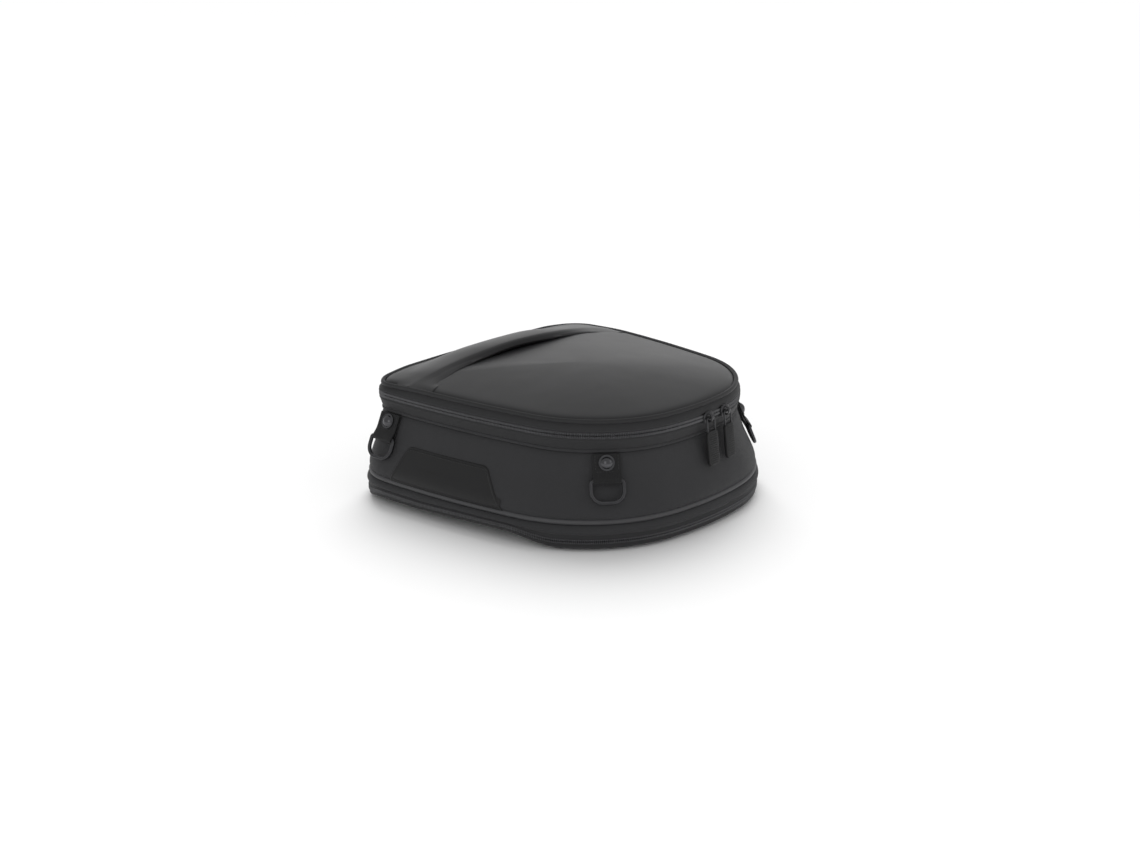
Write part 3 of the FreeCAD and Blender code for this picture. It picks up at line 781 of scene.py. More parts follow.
def tooth(column, share, inset, low, high, along, lean):
    """One coil tooth: a small rounded bar across the tape's edge."""
    tangent = Vector((-column.out.y, column.out.x, 0))
    centre = column.at(share, inset, (low + high) / 2)
    half = (high - low) / 2
    verts = []
    for height, wide, deep in ((-1.0, 0.55, 0.3), (-0.6, 1.0, 0.85), (0.6, 1.0, 0.85), (1.0, 0.55, 0.3)):
        for sx, sy in ((-1, 0), (0, 1), (1, 0), (0, -0.6)):
            spot = centre + tangent * (along * (sx * wide + lean * height)) + column.out * (sy * deep * TOOTH_PROUD)
            verts.append(spot + Vector((0, 0, height * half)))
    faces = [(3, 2, 1, 0), (12, 13, 14, 15)]
    for k in range(3):
        for i in range(4):
            j = (i + 1) % 4
            faces.append((4 * k + i, 4 * k + j, 4 * k + 4 + j, 4 * k + 4 + i))
    return verts, faces


def tooth_row(name, outline, inset, low, high, pitch, shift, keep):
    share = 1.0 if outline == "lid" else 0.0
    parts = []
    stations = columns_along(outline, inset, spacing=pitch)
    for column in stations[:-1]:
        if keep(column):
            parts.append(tooth(column, share, inset, low, high, pitch * 0.36, shift))
    return joined(name, parts, sharp=70.0)


def make_expansion_zip():
    lower = [(CHAIN_INSET, CHAIN_GAP_LOW - 0.3 * MM), (CHAIN_INSET - 0.15 * MM, CHAIN_LOW + 0.3 * MM),
             (CHAIN_INSET + 0.2 * MM, CHAIN_LOW - 0.5 * MM), (CHAIN_INSET + 0.2 * MM, PAN_TOP - 1.0 * MM)]
    upper = [(CHAIN_INSET + 0.1 * MM, BAND_LOW + 0.4 * MM), (CHAIN_INSET + 0.3 * MM, BAND_LOW - 0.7 * MM),
             (CHAIN_INSET - 0.15 * MM, BAND_LOW - 1.6 * MM), (CHAIN_INSET + 0.2 * MM, CHAIN_HIGH + 0.4 * MM),
             (CHAIN_INSET, CHAIN_GAP_HIGH + 0.3 * MM)]
    tape = band("expansion_zip_tape_lower", ROUND, at_base, backed(list(reversed(lower)), TAPE_THICKNESS))
    dress(tape, "zip_tape", "base", ["expansion_tape_lower"])
    tape = band("expansion_zip_tape_upper", ROUND, at_base, backed(list(reversed(upper)), TAPE_THICKNESS))
    dress(tape, "zip_tape", "body", ["expansion_tape_upper"])
    everywhere = lambda column: True
    row = tooth_row("expansion_coil_lower", "base", CHAIN_INSET, CHAIN_LOW + 0.1 * MM, CHAIN_GAP_LOW + 0.5 * MM,
                    1.6 * MM, 0.25, everywhere)
    dress(row, "zip_teeth", "base", ["expansion_teeth_lower"])
    row = tooth_row("expansion_coil_upper", "base", CHAIN_INSET, CHAIN_GAP_HIGH - 0.5 * MM, CHAIN_HIGH - 0.1 * MM,
                    1.6 * MM, -0.25, everywhere)
    dress(row, "zip_teeth", "body", ["expansion_teeth_upper"])


def make_gusset():
    """The gusset's folded sleeve."""
    folds = 9
    steps = 6
    low = 4.6 * MM
    high = 17.0 * MM
    profile = []
    for i in range(folds * steps + 1):
        share = i / (folds * steps)
        inset = 9.2 * MM + 1.6 * MM * math.cos(2 * math.pi * folds * share)
        profile.append((inset, mix(low, high, share)))

    def section(column):
        return [column.at(0, inset, z) for inset, z in profile]
    sleeve = loft("expansion_gusset_sleeve", ROUND[::2], section, closed=False, sharp=80.0)
    dress(sleeve, "gusset_fabric", None, ["expansion_gusset"])
    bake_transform(sleeve)


def make_lower_band():
    profile = []
    for i in range(11):
        share = i / 10
        z = mix(BAND_LOW + 0.3 * MM, BAND_HIGH + 0.2 * MM, share)
        round_off = 1 - abs(2 * share - 1) ** 3
        inset = mix(BAND_SEAM_INSET + 0.9 * MM, 2.0 * MM, share) - 1.9 * MM * round_off
        profile.append((inset, z))
    piece = band("lower_band_cloth", ROUND, at_base, backed(profile, 2.6 * MM), wobble=cloth_wobble(0.35 * MM, 45.0, 3.0))
    dress(piece, "body_fabric", "body", ["lower_band"])


def make_base_piping():
    profile = bead(PIPING_LOW, PIPING_HIGH, 0.0, 2.3 * MM, 12)
    profile = [(3.9 * MM, PIPING_LOW + 0.4 * MM)] + profile + [(3.9 * MM, PIPING_HIGH - 0.4 * MM)]
    piece = band("base_piping_cord", ROUND, at_base, profile, wobble=cloth_wobble(0.12 * MM, 60.0, 9.0))
    dress(piece, "piping", "body", ["base_piping"])


# Body
def wall_spot(column, z, proud=0.0):
    return column.at(wall_share(z), wall_inset(z) - proud, z)


def make_wall():
    low = PIPING_HIGH - 0.6 * MM
    high = TOP_PIPING_LOW + 0.6 * MM
    rows = 26
    heights = [mix(low, high, 0.5 - 0.5 * math.cos(math.pi * i / rows)) for i in range(rows + 1)]
    broad = cloth_wobble(0.5 * MM, 11.0, 1.0)
    fine = cloth_wobble(0.1 * MM, 60.0, 5.0)

    def section(column):
        spots = []
        for z in heights:
            spot = wall_spot(column, z)
            edge = min(z - low, high - z) / (8 * MM)
            pucker = 0.09 * MM * math.exp(-edge) * math.sin(column.run * 2 * math.pi / (9 * MM) + 3 * noise.noise(spot * 30))
            spots.append(spot + column.out * (broad(spot) * min(1, edge) + fine(spot) + pucker))
        for z in reversed(heights[::5]):
            spots.append(column.at(wall_share(z), wall_inset(z) + WALL_THICKNESS, z))
        return spots
    piece = loft("body_wall_cloth", ROUND, section, sharp=60.0)
    dress(piece, "body_fabric", "body", ["body_wall"])


def make_wall_lining():
    heights = [mix(PAN_TOP + 14 * MM, TOP_PIPING_HIGH + 2 * MM, i / 14) for i in range(15)]
    folds = cloth_wobble(1.2 * MM, 30.0, 21.0)

    def section(column):
        front = []
        for z in heights:
            share = max(0.0, wall_share(z))
            spot = column.at(share, WALL_THICKNESS + LINING_THICKNESS + 0.5 * MM + TOP_SEAM_INSET * share, z)
            front.append(spot - column.out * abs(folds(spot)))
        return front
    piece = loft("wall_lining_cloth", ROUND[::2], section, closed=False, sharp=80.0)
    dress(piece, "lining", "body", ["wall_lining"])


def make_top_piping():
    middle = (TOP_PIPING_LOW + TOP_PIPING_HIGH) / 2
    share = wall_share(middle)
    profile = bead(TOP_PIPING_LOW, TOP_PIPING_HIGH, TOP_SEAM_INSET * share, 1.7 * MM, 10)
    profile = [(5.5 * MM, TOP_PIPING_LOW + 0.4 * MM)] + profile + [(5.5 * MM, TOP_PIPING_HIGH - 0.4 * MM)]
    piece = band("top_piping_cord", ROUND, lambda z: share, profile, wobble=cloth_wobble(0.15 * MM, 50.0, 12.0))
    dress(piece, "body_fabric", "body", ["top_piping"])


# Side patches
PATCH_LOW_Z = PIPING_HIGH - 0.3 * MM
PATCH_HIGH_Z = 59.6 * MM
PATCH_CORNERS = ((-41 * MM, PATCH_LOW_Z), (-14 * MM, PATCH_HIGH_Z), (76 * MM, PATCH_HIGH_Z), (88 * MM, PATCH_LOW_Z))
PATCH_CORNER_R = 9.0 * MM
PATCH_STEPS = ((0.0, 0.0), (0.25, 0.8), (0.8, 1.15), (1.5, 1.1), (2.0, 0.55), (2.6, 0.5), (5.0, 0.6), (9.0, 0.6))


def patch_outline():
    """The patch's edge in (y, z), with its two upper corners rounded."""
    spots = []
    corners = [Vector(c) for c in PATCH_CORNERS]
    for i, corner in enumerate(corners):
        before = (corners[i - 1] - corner).normalized()
        after = (corners[(i + 1) % 4] - corner).normalized()
        if i in (1, 2):
            half = math.acos(before.dot(after)) / 2
            centre = corner + (before + after).normalized() * PATCH_CORNER_R / math.sin(half)
            start = corner + before * PATCH_CORNER_R / math.tan(half) - centre
            end = corner + after * PATCH_CORNER_R / math.tan(half) - centre
            turn = start.angle_signed(end)
            for k in range(9):
                spots.append(centre + Matrix.Rotation(-turn * k / 8, 2) @ start)
        else:
            spots.append(corner)
    dense = []
    for i, spot in enumerate(spots):
        following = spots[(i + 1) % len(spots)]
        count = max(1, round((following - spot).length / (3 * MM)))
        dense.extend(spot.lerp(following, k / count) for k in range(count))
    return dense


def column_at_y(y, z, side):
    share = wall_share(z)
    low, high = 20.0, 172.0
    for i in range(26):
        middle = (low + high) / 2
        column = Column(side * middle, 0)
        if column.at(share, wall_inset(z), z).y < y:
            low = middle
        else:
            high = middle
    return column


def patch_spot(y, z, side, proud):
    column = column_at_y(y, z, side)
    return wall_spot(column, z, proud), column.out


def make_side_patch(name, side):
    edge = patch_outline()
    count = len(edge)
    centre_line = [Vector((y, 44 * MM)) for y in (-8 * MM, 62 * MM)]
    normals = []
    for i, spot in enumerate(edge):
        along = edge[(i + 1) % count] - edge[i - 1]
        normals.append(Vector((-along.y, along.x)).normalized())
    middle = Vector((30 * MM, 44 * MM))
    normals = [n if n.dot(spot - middle) > 0 else -n for n, spot in zip(normals, edge)]
    verts = []
    rings = 0
    for inward, proud in PATCH_STEPS:
        for spot, normal in zip(edge, normals):
            place = spot - normal * (inward * MM)
            verts.append(patch_spot(place.x, place.y, side, proud * MM + 0.1 * MM)[0])
        rings += 1
    last = [spot - normal * (PATCH_STEPS[-1][0] * MM) for spot, normal in zip(edge, normals)]
    for share in (0.35, 0.7, 0.97):
        for spot in last:
            on_line = Vector((min(max(spot.x, centre_line[0].x), centre_line[1].x), centre_line[0].y))
            place = spot.lerp(on_line, share)
            verts.append(patch_spot(place.x, place.y, side, 0.7 * MM)[0])
        rings += 1
    faces = []
    for k in range(rings - 1):
        for i in range(count):
            j = (i + 1) % count
            face = (k * count + i, k * count + j, (k + 1) * count + j, (k + 1) * count + i)
            faces.append(face if side < 0 else tuple(reversed(face)))
    face = tuple((rings - 1) * count + i for i in range(count))
    faces.append(face if side < 0 else tuple(reversed(face)))
    patch = joined(name + "_skin", [(verts, faces)], sharp=50.0)
    dress(patch, "moulded_patch", "body", [name])
    stitches = []
    upper = [(spot, normal) for spot, normal in zip(edge, normals) if spot.y > PATCH_HIGH_Z - 7 * MM]
    line = [spot - normal * (2.9 * MM) for spot, normal in upper]
    line.sort(key=lambda spot: spot.x)
    stitches = dashes([patch_spot(p.x, p.y, side, 0.75 * MM) for p in line], 3.0 * MM, 1.9 * MM, 0.28 * MM)
    piece = joined(name + "_stitches", stitches, sharp=80.0)
    dress(piece, "moulded_patch", "body", finish=stitch_thread)


def dashes(line, pitch, length, radius):
    """Short stitches along a list of (place, outward) pairs."""
    spots = [spot for spot, out in line]
    runs = [0.0]
    for a, b in zip(spots, spots[1:]):
        runs.append(runs[-1] + (b - a).length)

    def at(run):
        k = next((j for j in range(1, len(runs)) if run <= runs[j]), len(runs) - 1)
        share = (run - runs[k - 1]) / max(1e-9, runs[k] - runs[k - 1])
        return spots[k - 1].lerp(spots[k], share), line[k - 1][1].lerp(line[k][1], share).normalized()

    made = []
    for i in range(int(runs[-1] / pitch)):
        path = []
        for share, sink in ((0.0, 1.6), (0.15, 0.3), (0.5, 0.0), (0.85, 0.3), (1.0, 1.6)):
            spot, out = at(i * pitch + share * length)
            path.append(spot - out * (sink * radius))
        made.append(tube(path, radius, sides=6))
    return made


# Ring loops
RINGS = {"rear_left": (-42.0, 73.5 * MM), "rear_right": (48.0, 73.5 * MM),
         "front_left": (-89.4, 74.0 * MM), "front_right": (89.4, 74.0 * MM)}
WEBBING_WIDTH = 24.0 * MM
WEBBING_ABOVE = 7.6 * MM
WEBBING_BELOW = 15.4 * MM
WEBBING_PLY = 1.3 * MM
RING_WIRE_R = 1.7 * MM
RING_INNER = 24.8 * MM
RING_DROP = 18.4 * MM
RING_CORNER = 10.0 * MM
RING_TOP_R = 2.4 * MM
RING_LEAN = 2.5
SEAT = 0.3 * MM
LOOP_CLEARANCE = 0.08 * MM


def ring_matrix(name):
    angle, z = RINGS[name]
    column = Column(angle, 0)
    foot = column.low
    head = column.high - column.out * TOP_SEAM_INSET
    lean = (foot - head).dot(column.out)
    middle = (PIPING_LOW + PIPING_HIGH) / 2
    tilt = math.degrees(math.atan2(lean, TOP_PIPING_HIGH + 0.3 * MM - middle)) + RING_LEAN
    share = wall_share(z)
    seat = column.low.lerp(column.high, share) - column.out * (TOP_SEAM_INSET * share + WALL_WAIST)
    return place_on(Vector((seat.x, seat.y, z)), angle, tilt)


def bar_place():
    return Vector((0, -SEAT - RING_WIRE_R - LOOP_CLEARANCE - WEBBING_PLY, -WEBBING_BELOW))


def make_webbing(name):
    """A strap folded round the ring's bar, both plies under the rivet."""
    place = ring_matrix(name)
    bar = bar_place()
    reach = RING_WIRE_R + LOOP_CLEARANCE
    outer = reach + WEBBING_PLY
    top = WEBBING_ABOVE
    face = -SEAT - 3.0 * MM
    path = [Vector((face + 0.1 * MM, top)), Vector((face, top - 1.5 * MM)), Vector((face, 2 * MM)), Vector((face, -4.4 * MM)),
            Vector((face - 0.3 * MM, -8.4 * MM)), Vector((face - 1.4 * MM, -11.9 * MM))]
    for i in range(9):
        turn = math.radians(200 + 160 * i / 8)
        path.append(Vector((bar.y + outer * math.cos(turn), bar.z + outer * math.sin(turn))))
    path += [Vector((-SEAT, -11.4 * MM)), Vector((-SEAT, -4 * MM)), Vector((-SEAT, top))]
    inner = []
    for i, spot in enumerate(path):
        along = (path[min(i + 1, len(path) - 1)] - path[max(i - 1, 0)]).normalized()
        inner.append(spot + Vector((-along.y, along.x)) * WEBBING_PLY)
    loop = path + list(reversed(inner))
    half = WEBBING_WIDTH / 2
    stations = [-1.0, -0.97, -0.9, -0.5, 0.0, 0.5, 0.9, 0.97, 1.0]
    rows = []
    for share in stations:
        pinch = 0.35 * MM * max(0.0, (abs(share) - 0.9) / 0.1)
        row = []
        for i, spot in enumerate(loop):
            other = loop[len(loop) - 1 - i]
            toward = (other - spot).normalized() * pinch
            row.append(place @ Vector((share * half, spot.x + toward.x, spot.y + toward.y)))
        rows.append(row)
    runs = [half * (share + 1) for share in stations]
    fake = [type("Station", (), {"run": run, "index": i})() for i, run in enumerate(runs)]
    strap = loft("webbing_" + name, fake, lambda s: rows[s.index], cyclic=False, closed=True, caps=True, sharp=60.0)
    dress(strap, "webbing", "body", ["ring_webbing_" + name])
    parts = []
    for x in (-half + 2.2 * MM, half - 2.2 * MM):
        line = [(Vector((x, face - 0.15 * MM, top - 1 * MM - k * 2 * MM)), Vector((0, -1, 0))) for k in range(8)]
        parts += dashes(line, 2.6 * MM, 1.7 * MM, 0.25 * MM)
    line = [(Vector((x, face - 0.15 * MM, -7.6 * MM)), Vector((0, -1, 0))) for x in (-9 * MM, 9 * MM)]
    parts += dashes(line, 2.6 * MM, 1.7 * MM, 0.25 * MM)
    thread = joined("webbing_stitches_" + name, [([place @ v for v in verts], faces) for verts, faces in parts], sharp=80.0)
    dress(thread, "webbing", "body", finish=stitch_thread)


def ring_path():
    half = RING_INNER / 2 + RING_WIRE_R
    low = -RING_DROP
    bends = [(half - RING_TOP_R, -RING_TOP_R, RING_TOP_R, 90, 0), (half - RING_CORNER, low + RING_CORNER, RING_CORNER, 0, -90),
             (-half + RING_CORNER, low + RING_CORNER, RING_CORNER, -90, -180),
             (-half + RING_TOP_R, -RING_TOP_R, RING_TOP_R, 180, 90)]
    path = []
    for x, z, radius, start, end in bends:
        for i in range(13):
            turn = math.radians(mix(start, end, i / 12))
            path.append(Vector((x + radius * math.cos(turn), 0, z + radius * math.sin(turn))))
    return path


def make_d_ring(name):
    """A cast ring: its legs and bow have a flat front with a shallow groove."""
    place = ring_matrix(name)
    bar = bar_place()
    path = ring_path()
    count = len(path)
    rib = []
    for k in range(16):
        turn = 2 * math.pi * k / 16
        across, deep = math.cos(turn), math.sin(turn)
        squareness = 1.0 / max(abs(across), abs(deep)) ** 0.35
        groove = 0.32 if k == 12 else 0.0
        rib.append((across * squareness * 0.93, deep * squareness * 0.9 * (1 - groove)))
    verts = []
    for i, spot in enumerate(path):
        along = (path[(i + 1) % count] - path[i - 1]).normalized()
        side = Vector((along.z, 0, -along.x))
        for across, deep in rib:
            verts.append(place @ (bar + spot + side * (across * RING_WIRE_R) + Vector((0, deep * RING_WIRE_R, 0))))
    faces = []
    for i in range(count):
        for k in range(16):
            j = (k + 1) % 16
            n = (i + 1) % count
            faces.append((i * 16 + k, n * 16 + k, n * 16 + j, i * 16 + j))
    ring = joined("ring_" + name, [(verts, faces)], sharp=60.0)
    dress(ring, "ring_metal", "d_ring_" + name, ["d_ring_" + name])


# Main zip
def on_zip(column):
    return not (column.high.y > STRIP_BACK - 10 * MM and abs(column.high.x) < HINGE_HALF + 0.6 * MM)


def zip_columns():
    """The direction of the lid outline's normal where the zip ends, beside the hinge strip."""
    low, high = 150.0, 180.0
    for i in range(30):
        middle = (low + high) / 2
        if abs(outline_point("lid", middle).x) > HINGE_HALF + 0.4 * MM:
            low = middle
        else:
            high = middle
    return low


ZIP_END = zip_columns()


def make_main_zip():
    stations = columns_along("lid", 0, count=460, start=-ZIP_END, end=ZIP_END)
    lower = [(TOP_SEAM_INSET + 0.2 * MM, TOP_PIPING_HIGH - 0.2 * MM), (TOP_SEAM_INSET - 0.6 * MM, TOP_PIPING_HIGH + 2.0 * MM),
             (ZIP_INSET + 0.6 * MM, ZIP_LOW - 4.6 * MM), (ZIP_INSET, ZIP_LOW - 2.6 * MM), (ZIP_INSET - 0.45 * MM, ZIP_LOW - 1.8 * MM),
             (ZIP_INSET - 0.45 * MM, ZIP_LOW - 1.2 * MM), (ZIP_INSET + 0.1 * MM, ZIP_LOW - 0.6 * MM),
             (ZIP_INSET, ZIP_GAP_LOW - 0.4 * MM)]
    upper = [(ZIP_INSET, ZIP_GAP_HIGH + 0.4 * MM), (ZIP_INSET + 0.1 * MM, ZIP_HIGH + 0.6 * MM),
             (ZIP_INSET - 0.45 * MM, ZIP_HIGH + 1.2 * MM), (ZIP_INSET - 0.45 * MM, ZIP_HIGH + 1.8 * MM),
             (ZIP_INSET + 0.1 * MM, ZIP_HIGH + 2.4 * MM), (ZIP_INSET + 0.7 * MM, ZIP_HIGH + 4.4 * MM),
             (RIM_SEAM_INSET - 0.5 * MM, RIM_LOW - 1.4 * MM), (RIM_SEAM_INSET + 0.5 * MM, RIM_LOW + 0.3 * MM)]
    tape = band("main_zip_tape_lower", stations, at_lid, backed(lower, TAPE_THICKNESS), cyclic=False)
    dress(tape, "zip_tape", "body", ["main_tape_lower"])
    tape = band("main_zip_tape_upper", stations, at_lid, backed(upper, TAPE_THICKNESS), cyclic=False)
    dress(tape, "zip_tape", "lid", ["main_tape_upper"])
    row = tooth_row("main_coil_lower", "lid", ZIP_INSET, ZIP_LOW + 0.1 * MM, ZIP_GAP_LOW + 0.5 * MM, 1.5 * MM, 0.25, on_zip)
    dress(row, "zip_teeth", "body", ["main_teeth_lower"])
    row = tooth_row("main_coil_upper", "lid", ZIP_INSET, ZIP_GAP_HIGH - 0.5 * MM, ZIP_HIGH - 0.1 * MM, 1.5 * MM, -0.25, on_zip)
    dress(row, "zip_teeth", "lid", ["main_teeth_upper"])


def make_hinge_strip():
    stations = columns_along("lid", 0, count=150, start=ZIP_END + 0.3, end=180.0)
    mirrored = columns_along("lid", 0, count=150, start=-180.0, end=-ZIP_END - 0.3)
    shift = stations[-1].run
    for column in mirrored:
        column.run += shift
    stations = stations + mirrored[1:]
    profile = []
    for i in range(21):
        share = i / 20
        z = mix(TOP_PIPING_HIGH + 0.2 * MM, RIM_LOW + 0.2 * MM, share)
        swell = 1 - abs(2 * share - 1) ** 2.5
        profile.append((mix(TOP_SEAM_INSET, RIM_SEAM_INSET, share) - 2.1 * MM * swell, z))
    piece = band("lid_hinge_cloth", stations, at_lid, backed(profile, TAPE_THICKNESS), cyclic=False)
    dress(piece, "zip_tape", None, ["hinge_strip"], finish=ballistic_cloth)
    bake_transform(piece)


# Lid
def crown_point(column, scale):
    """A place on the lid's cloth: scale 1 is its edge and 0 its middle."""
    middle = Vector((0, CROWN_Y, 0))
    edge = column.high - column.out * CROWN_EDGE_INSET
    spot = middle.lerp(edge, scale)
    rise = CROWN_HEIGHT * (1 - scale ** CROWN_POWER)
    gap = (1 - scale) * (edge - middle).length
    roll = 2.3 * MM * math.exp(-gap / (2.2 * MM))
    return Vector((spot.x, spot.y, CROWN_EDGE_Z + 0.9 * MM + rise - roll - droop(spot, RIM_HIGH)))


def crown_height(x, y):
    """Height of the lid's cloth at a place in plan."""
    away = Vector((x, y - CROWN_Y, 0))
    if away.length < 1e-6:
        return crown_point(ROUND[0], 0.0).z
    low, high = 0.0, 180.0
    side = 1 if x >= 0 else -1
    for i in range(24):
        middle = (low + high) / 2
        edge = outline_point("lid", side * middle) - outward(side * middle) * CROWN_EDGE_INSET - Vector((0, CROWN_Y, 0))
        if edge.x * side * away.y - edge.y * away.x * side < 0:
            high = middle
        else:
            low = middle
    edge = outline_point("lid", side * low) - outward(side * low) * CROWN_EDGE_INSET - Vector((0, CROWN_Y, 0))
    return crown_point(Column(side * low, 0), min(1.0, away.length / edge.length)).z


def make_lid_panel():
    scales = [1.012, 1.0, 0.992, 0.982, 0.97, 0.955, 0.935, 0.91, 0.88]
    while scales[-1] > 0.05:
        scales.append(scales[-1] - 0.03)
    broad = cloth_wobble(0.5 * MM, 8.0, 31.0)
    fine = cloth_wobble(0.06 * MM, 60.0, 33.0)
    stations = ROUND[::2]
    verts = []
    for scale in scales:
        for column in stations[:-1]:
            spot = crown_point(column, min(scale, 1.0))
            if scale > 1:
                spot = spot - Vector((0, 0, 2.2 * MM)) + column.out * (0.4 * MM)
            fade = min(1.0, (1 - min(scale, 1.0)) * 8)
            spot.z += (broad(spot) + fine(spot)) * fade
            verts.append(spot)
    size = len(stations) - 1
    faces = []
    for k in range(len(scales) - 1):
        for i in range(size):
            j = (i + 1) % size
            faces.append((k * size + i, k * size + j, (k + 1) * size + j, (k + 1) * size + i))
    verts.append(Vector((0, CROWN_Y, crown_point(ROUND[0], 0.0).z)))
    start = (len(scales) - 1) * size
    for i in range(size):
        faces.append((start + i, start + (i + 1) % size, len(verts) - 1))
    panel = joined("lid_panel_cloth", [(verts, faces)], sharp=70.0)
    dress(panel, "lid_fabric", "lid", ["lid_panel"])


def make_lid_lining():
    folds = cloth_wobble(1.0 * MM, 30.0, 41.0)
    stations = ROUND[::4]
    scales = [1.0, 0.97, 0.93, 0.88, 0.8, 0.7, 0.6, 0.5, 0.4, 0.3, 0.2, 0.1]
    size = len(stations) - 1
    verts = []
    for scale in scales:
        for column in stations[:-1]:
            spot = crown_point(column, scale)
            spot = spot - Vector((0, 0, 6.0 * MM)) - column.out * (1.2 * MM * scale)
            spot.z -= abs(folds(spot))
            verts.append(spot)
    faces = []
    for k in range(len(scales) - 1):
        for i in range(size):
            j = (i + 1) % size
            faces.append((k * size + j, k * size + i, (k + 1) * size + i, (k + 1) * size + j))
    verts.append(Vector((0, CROWN_Y, crown_point(ROUND[0], 0.0).z - 6.0 * MM)))
    start = (len(scales) - 1) * size
    for i in range(size):
        faces.append((start + (i + 1) % size, start + i, len(verts) - 1))
    piece = joined("lid_lining_cloth", [(verts, faces)], sharp=70.0)
    dress(piece, "lining", "lid", ["lid_lining"])


def make_lid_piping():
    profile = []
    for i in range(13):
        turn = math.pi * (i / 12 - 0.5)
        middle = (RIM_LOW + RIM_HIGH) / 2
        half = (RIM_HIGH - RIM_LOW) / 2
        profile.append((RIM_CREST_INSET + 1.9 * MM * (1 - math.cos(turn)), middle + half * math.sin(turn)))
    inner = RIM_CREST_INSET + 4.0 * MM
    profile = [(inner, RIM_LOW + 0.3 * MM)] + profile + [(inner, RIM_HIGH - 1.2 * MM)]
    piece = band("lid_piping_cord", ROUND, at_lid, profile, wobble=cloth_wobble(0.2 * MM, 40.0, 51.0))
    dress(piece, "dark_piping", "lid", ["lid_piping"])


# Handle
def handle_crest(share):
    return HANDLE_CREST_Z - 0.6 * MM - HANDLE_DROP * share ** 2


def front_edge(x):
    """Where the lid's cloth ends at the front, at a place across the bag."""
    low, high = 90.0, 180.0
    for i in range(26):
        middle = (low + high) / 2
        spot = outline_point("lid", middle) - outward(middle) * (CROWN_EDGE_INSET - 0.4 * MM)
        if spot.x > abs(x):
            low = middle
        else:
            high = middle
    return spot.y


def handle_section(share):
    """The handle's outline at one place across the bag, as a closed row of points."""
    x = share * HANDLE_END_X
    ends = smooth(abs(share), 0.78, 0.97)
    crest = handle_crest(share)
    rear = HANDLE_REAR_Y - HANDLE_SWEEP * share ** 2
    front = front_edge(x)
    foot = crown_height(x, front) - 0.2 * MM
    rear_floor = crown_height(x, rear)
    row = [Vector((x, front, foot - 2.0 * MM)), Vector((x, front, foot))]
    steps = 14
    for i in range(1, steps):
        t = i / steps
        y = mix(front, HANDLE_CREST_Y, t)
        z = mix(foot, crest, t) + (mix(6.2 * MM, 2.0 * MM, smooth(abs(share), 0.25, 0.7)) * (1 - ends) + 0.5 * MM) * 4 * t * (1 - t) * (1 - 0.35 * t)
        row.append(Vector((x, y, max(z, crown_height(x, y) + 0.5 * MM))))
    roll_radius = mix(3.9 * MM, 1.4 * MM, smooth(abs(share), 0.3, 0.75))
    radius = mix(roll_radius, 0.4 * MM, ends)
    row.append(Vector((x, HANDLE_CREST_Y, crest)))
    turns = 12
    for i in range(1, turns + 1):
        turn = math.pi * i / turns
        y = mix(HANDLE_CREST_Y - 1.0 * MM, rear + radius, 0.5 - 0.5 * math.cos(math.pi * min(1, 2 * i / turns)))
        roll = Vector((x, rear + radius - radius * 1.25 * math.sin(turn) + (HANDLE_CREST_Y - rear - radius) * (1 + math.cos(turn)) / 2 * (1 if i < turns / 2 else 0.4),
                       crest - radius * (1 - math.cos(turn))))
        slope = i / turns
        flat = Vector((x, mix(HANDLE_CREST_Y, rear, slope), mix(crest, rear_floor + 0.6 * MM, slope)))
        row.append(roll.lerp(flat, ends))
    under = row[-1]
    inner_front = 107 * MM
    ceiling = mix(foot, crest, (front - inner_front) / (front - HANDLE_CREST_Y)) - 2.6 * MM
    for t in (0.25, 0.5, 0.75, 1.0):
        y = mix(under.y, inner_front, t)
        z = mix(under.z + 0.6 * MM * (1 - ends), ceiling, t)
        low = crown_height(x, y) - 1.0 * MM
        row.append(Vector((x, y, mix(z, low, ends) if z > low else low)))
    row.append(Vector((x, inner_front, crown_height(x, inner_front) - 2.5 * MM)))
    return row


def make_handle():
    stations = [-1 + i / 40 for i in range(81)]
    rows = [handle_section(share * 0.995) for share in stations]
    fine = cloth_wobble(0.25 * MM, 18.0, 61.0)
    for row in rows:
        for spot in row:
            spot.z += fine(spot)
    fake = [type("Station", (), {"run": (share + 1) * HANDLE_END_X, "index": i})() for i, share in enumerate(stations)]
    piece = loft("handle_cloth", fake, lambda s: rows[s.index], cyclic=False, closed=True, caps=True, sharp=60.0)
    dress(piece, "lid_fabric", "lid", ["handle"])


# Sliders and pulls
SLIDERS = {"left": 1.5, "right": 7.7}
PULL_TILT = 7.0
PIVOT_OUT = 4.6 * MM
TAB_WIDTH = 14.6 * MM
TAB_LENGTH = 31.0 * MM
TAB_THICKNESS = 3.8 * MM
TAB_TOP = 11.5 * MM


def rounded_plate(width, height, depth, corner, rings, steps=6):
    """A plate with rounded corners in x and z and eased edges. rings are (inset, depth share)."""
    outline = []
    for cx, cz, start in ((1, 1, 0), (-1, 1, 90), (-1, -1, 180), (1, -1, 270)):
        for i in range(steps + 1):
            turn = math.radians(start + 90 * i / steps)
            outline.append((cx * (width / 2 - corner), cz * (height / 2 - corner), math.cos(turn), math.sin(turn)))
    verts = []
    for inset, share in rings:
        for ox, oz, nx, nz in outline:
            verts.append(Vector((ox + nx * (corner - inset), share * depth / 2, oz + nz * (corner - inset))))
    size = len(outline)
    faces = []
    for k in range(len(rings) - 1):
        for i in range(size):
            j = (i + 1) % size
            faces.append((k * size + i, k * size + j, (k + 1) * size + j, (k + 1) * size + i))
    faces.append(tuple(reversed(range(size))))
    faces.append(tuple((len(rings) - 1) * size + i for i in range(size)))
    return verts, faces


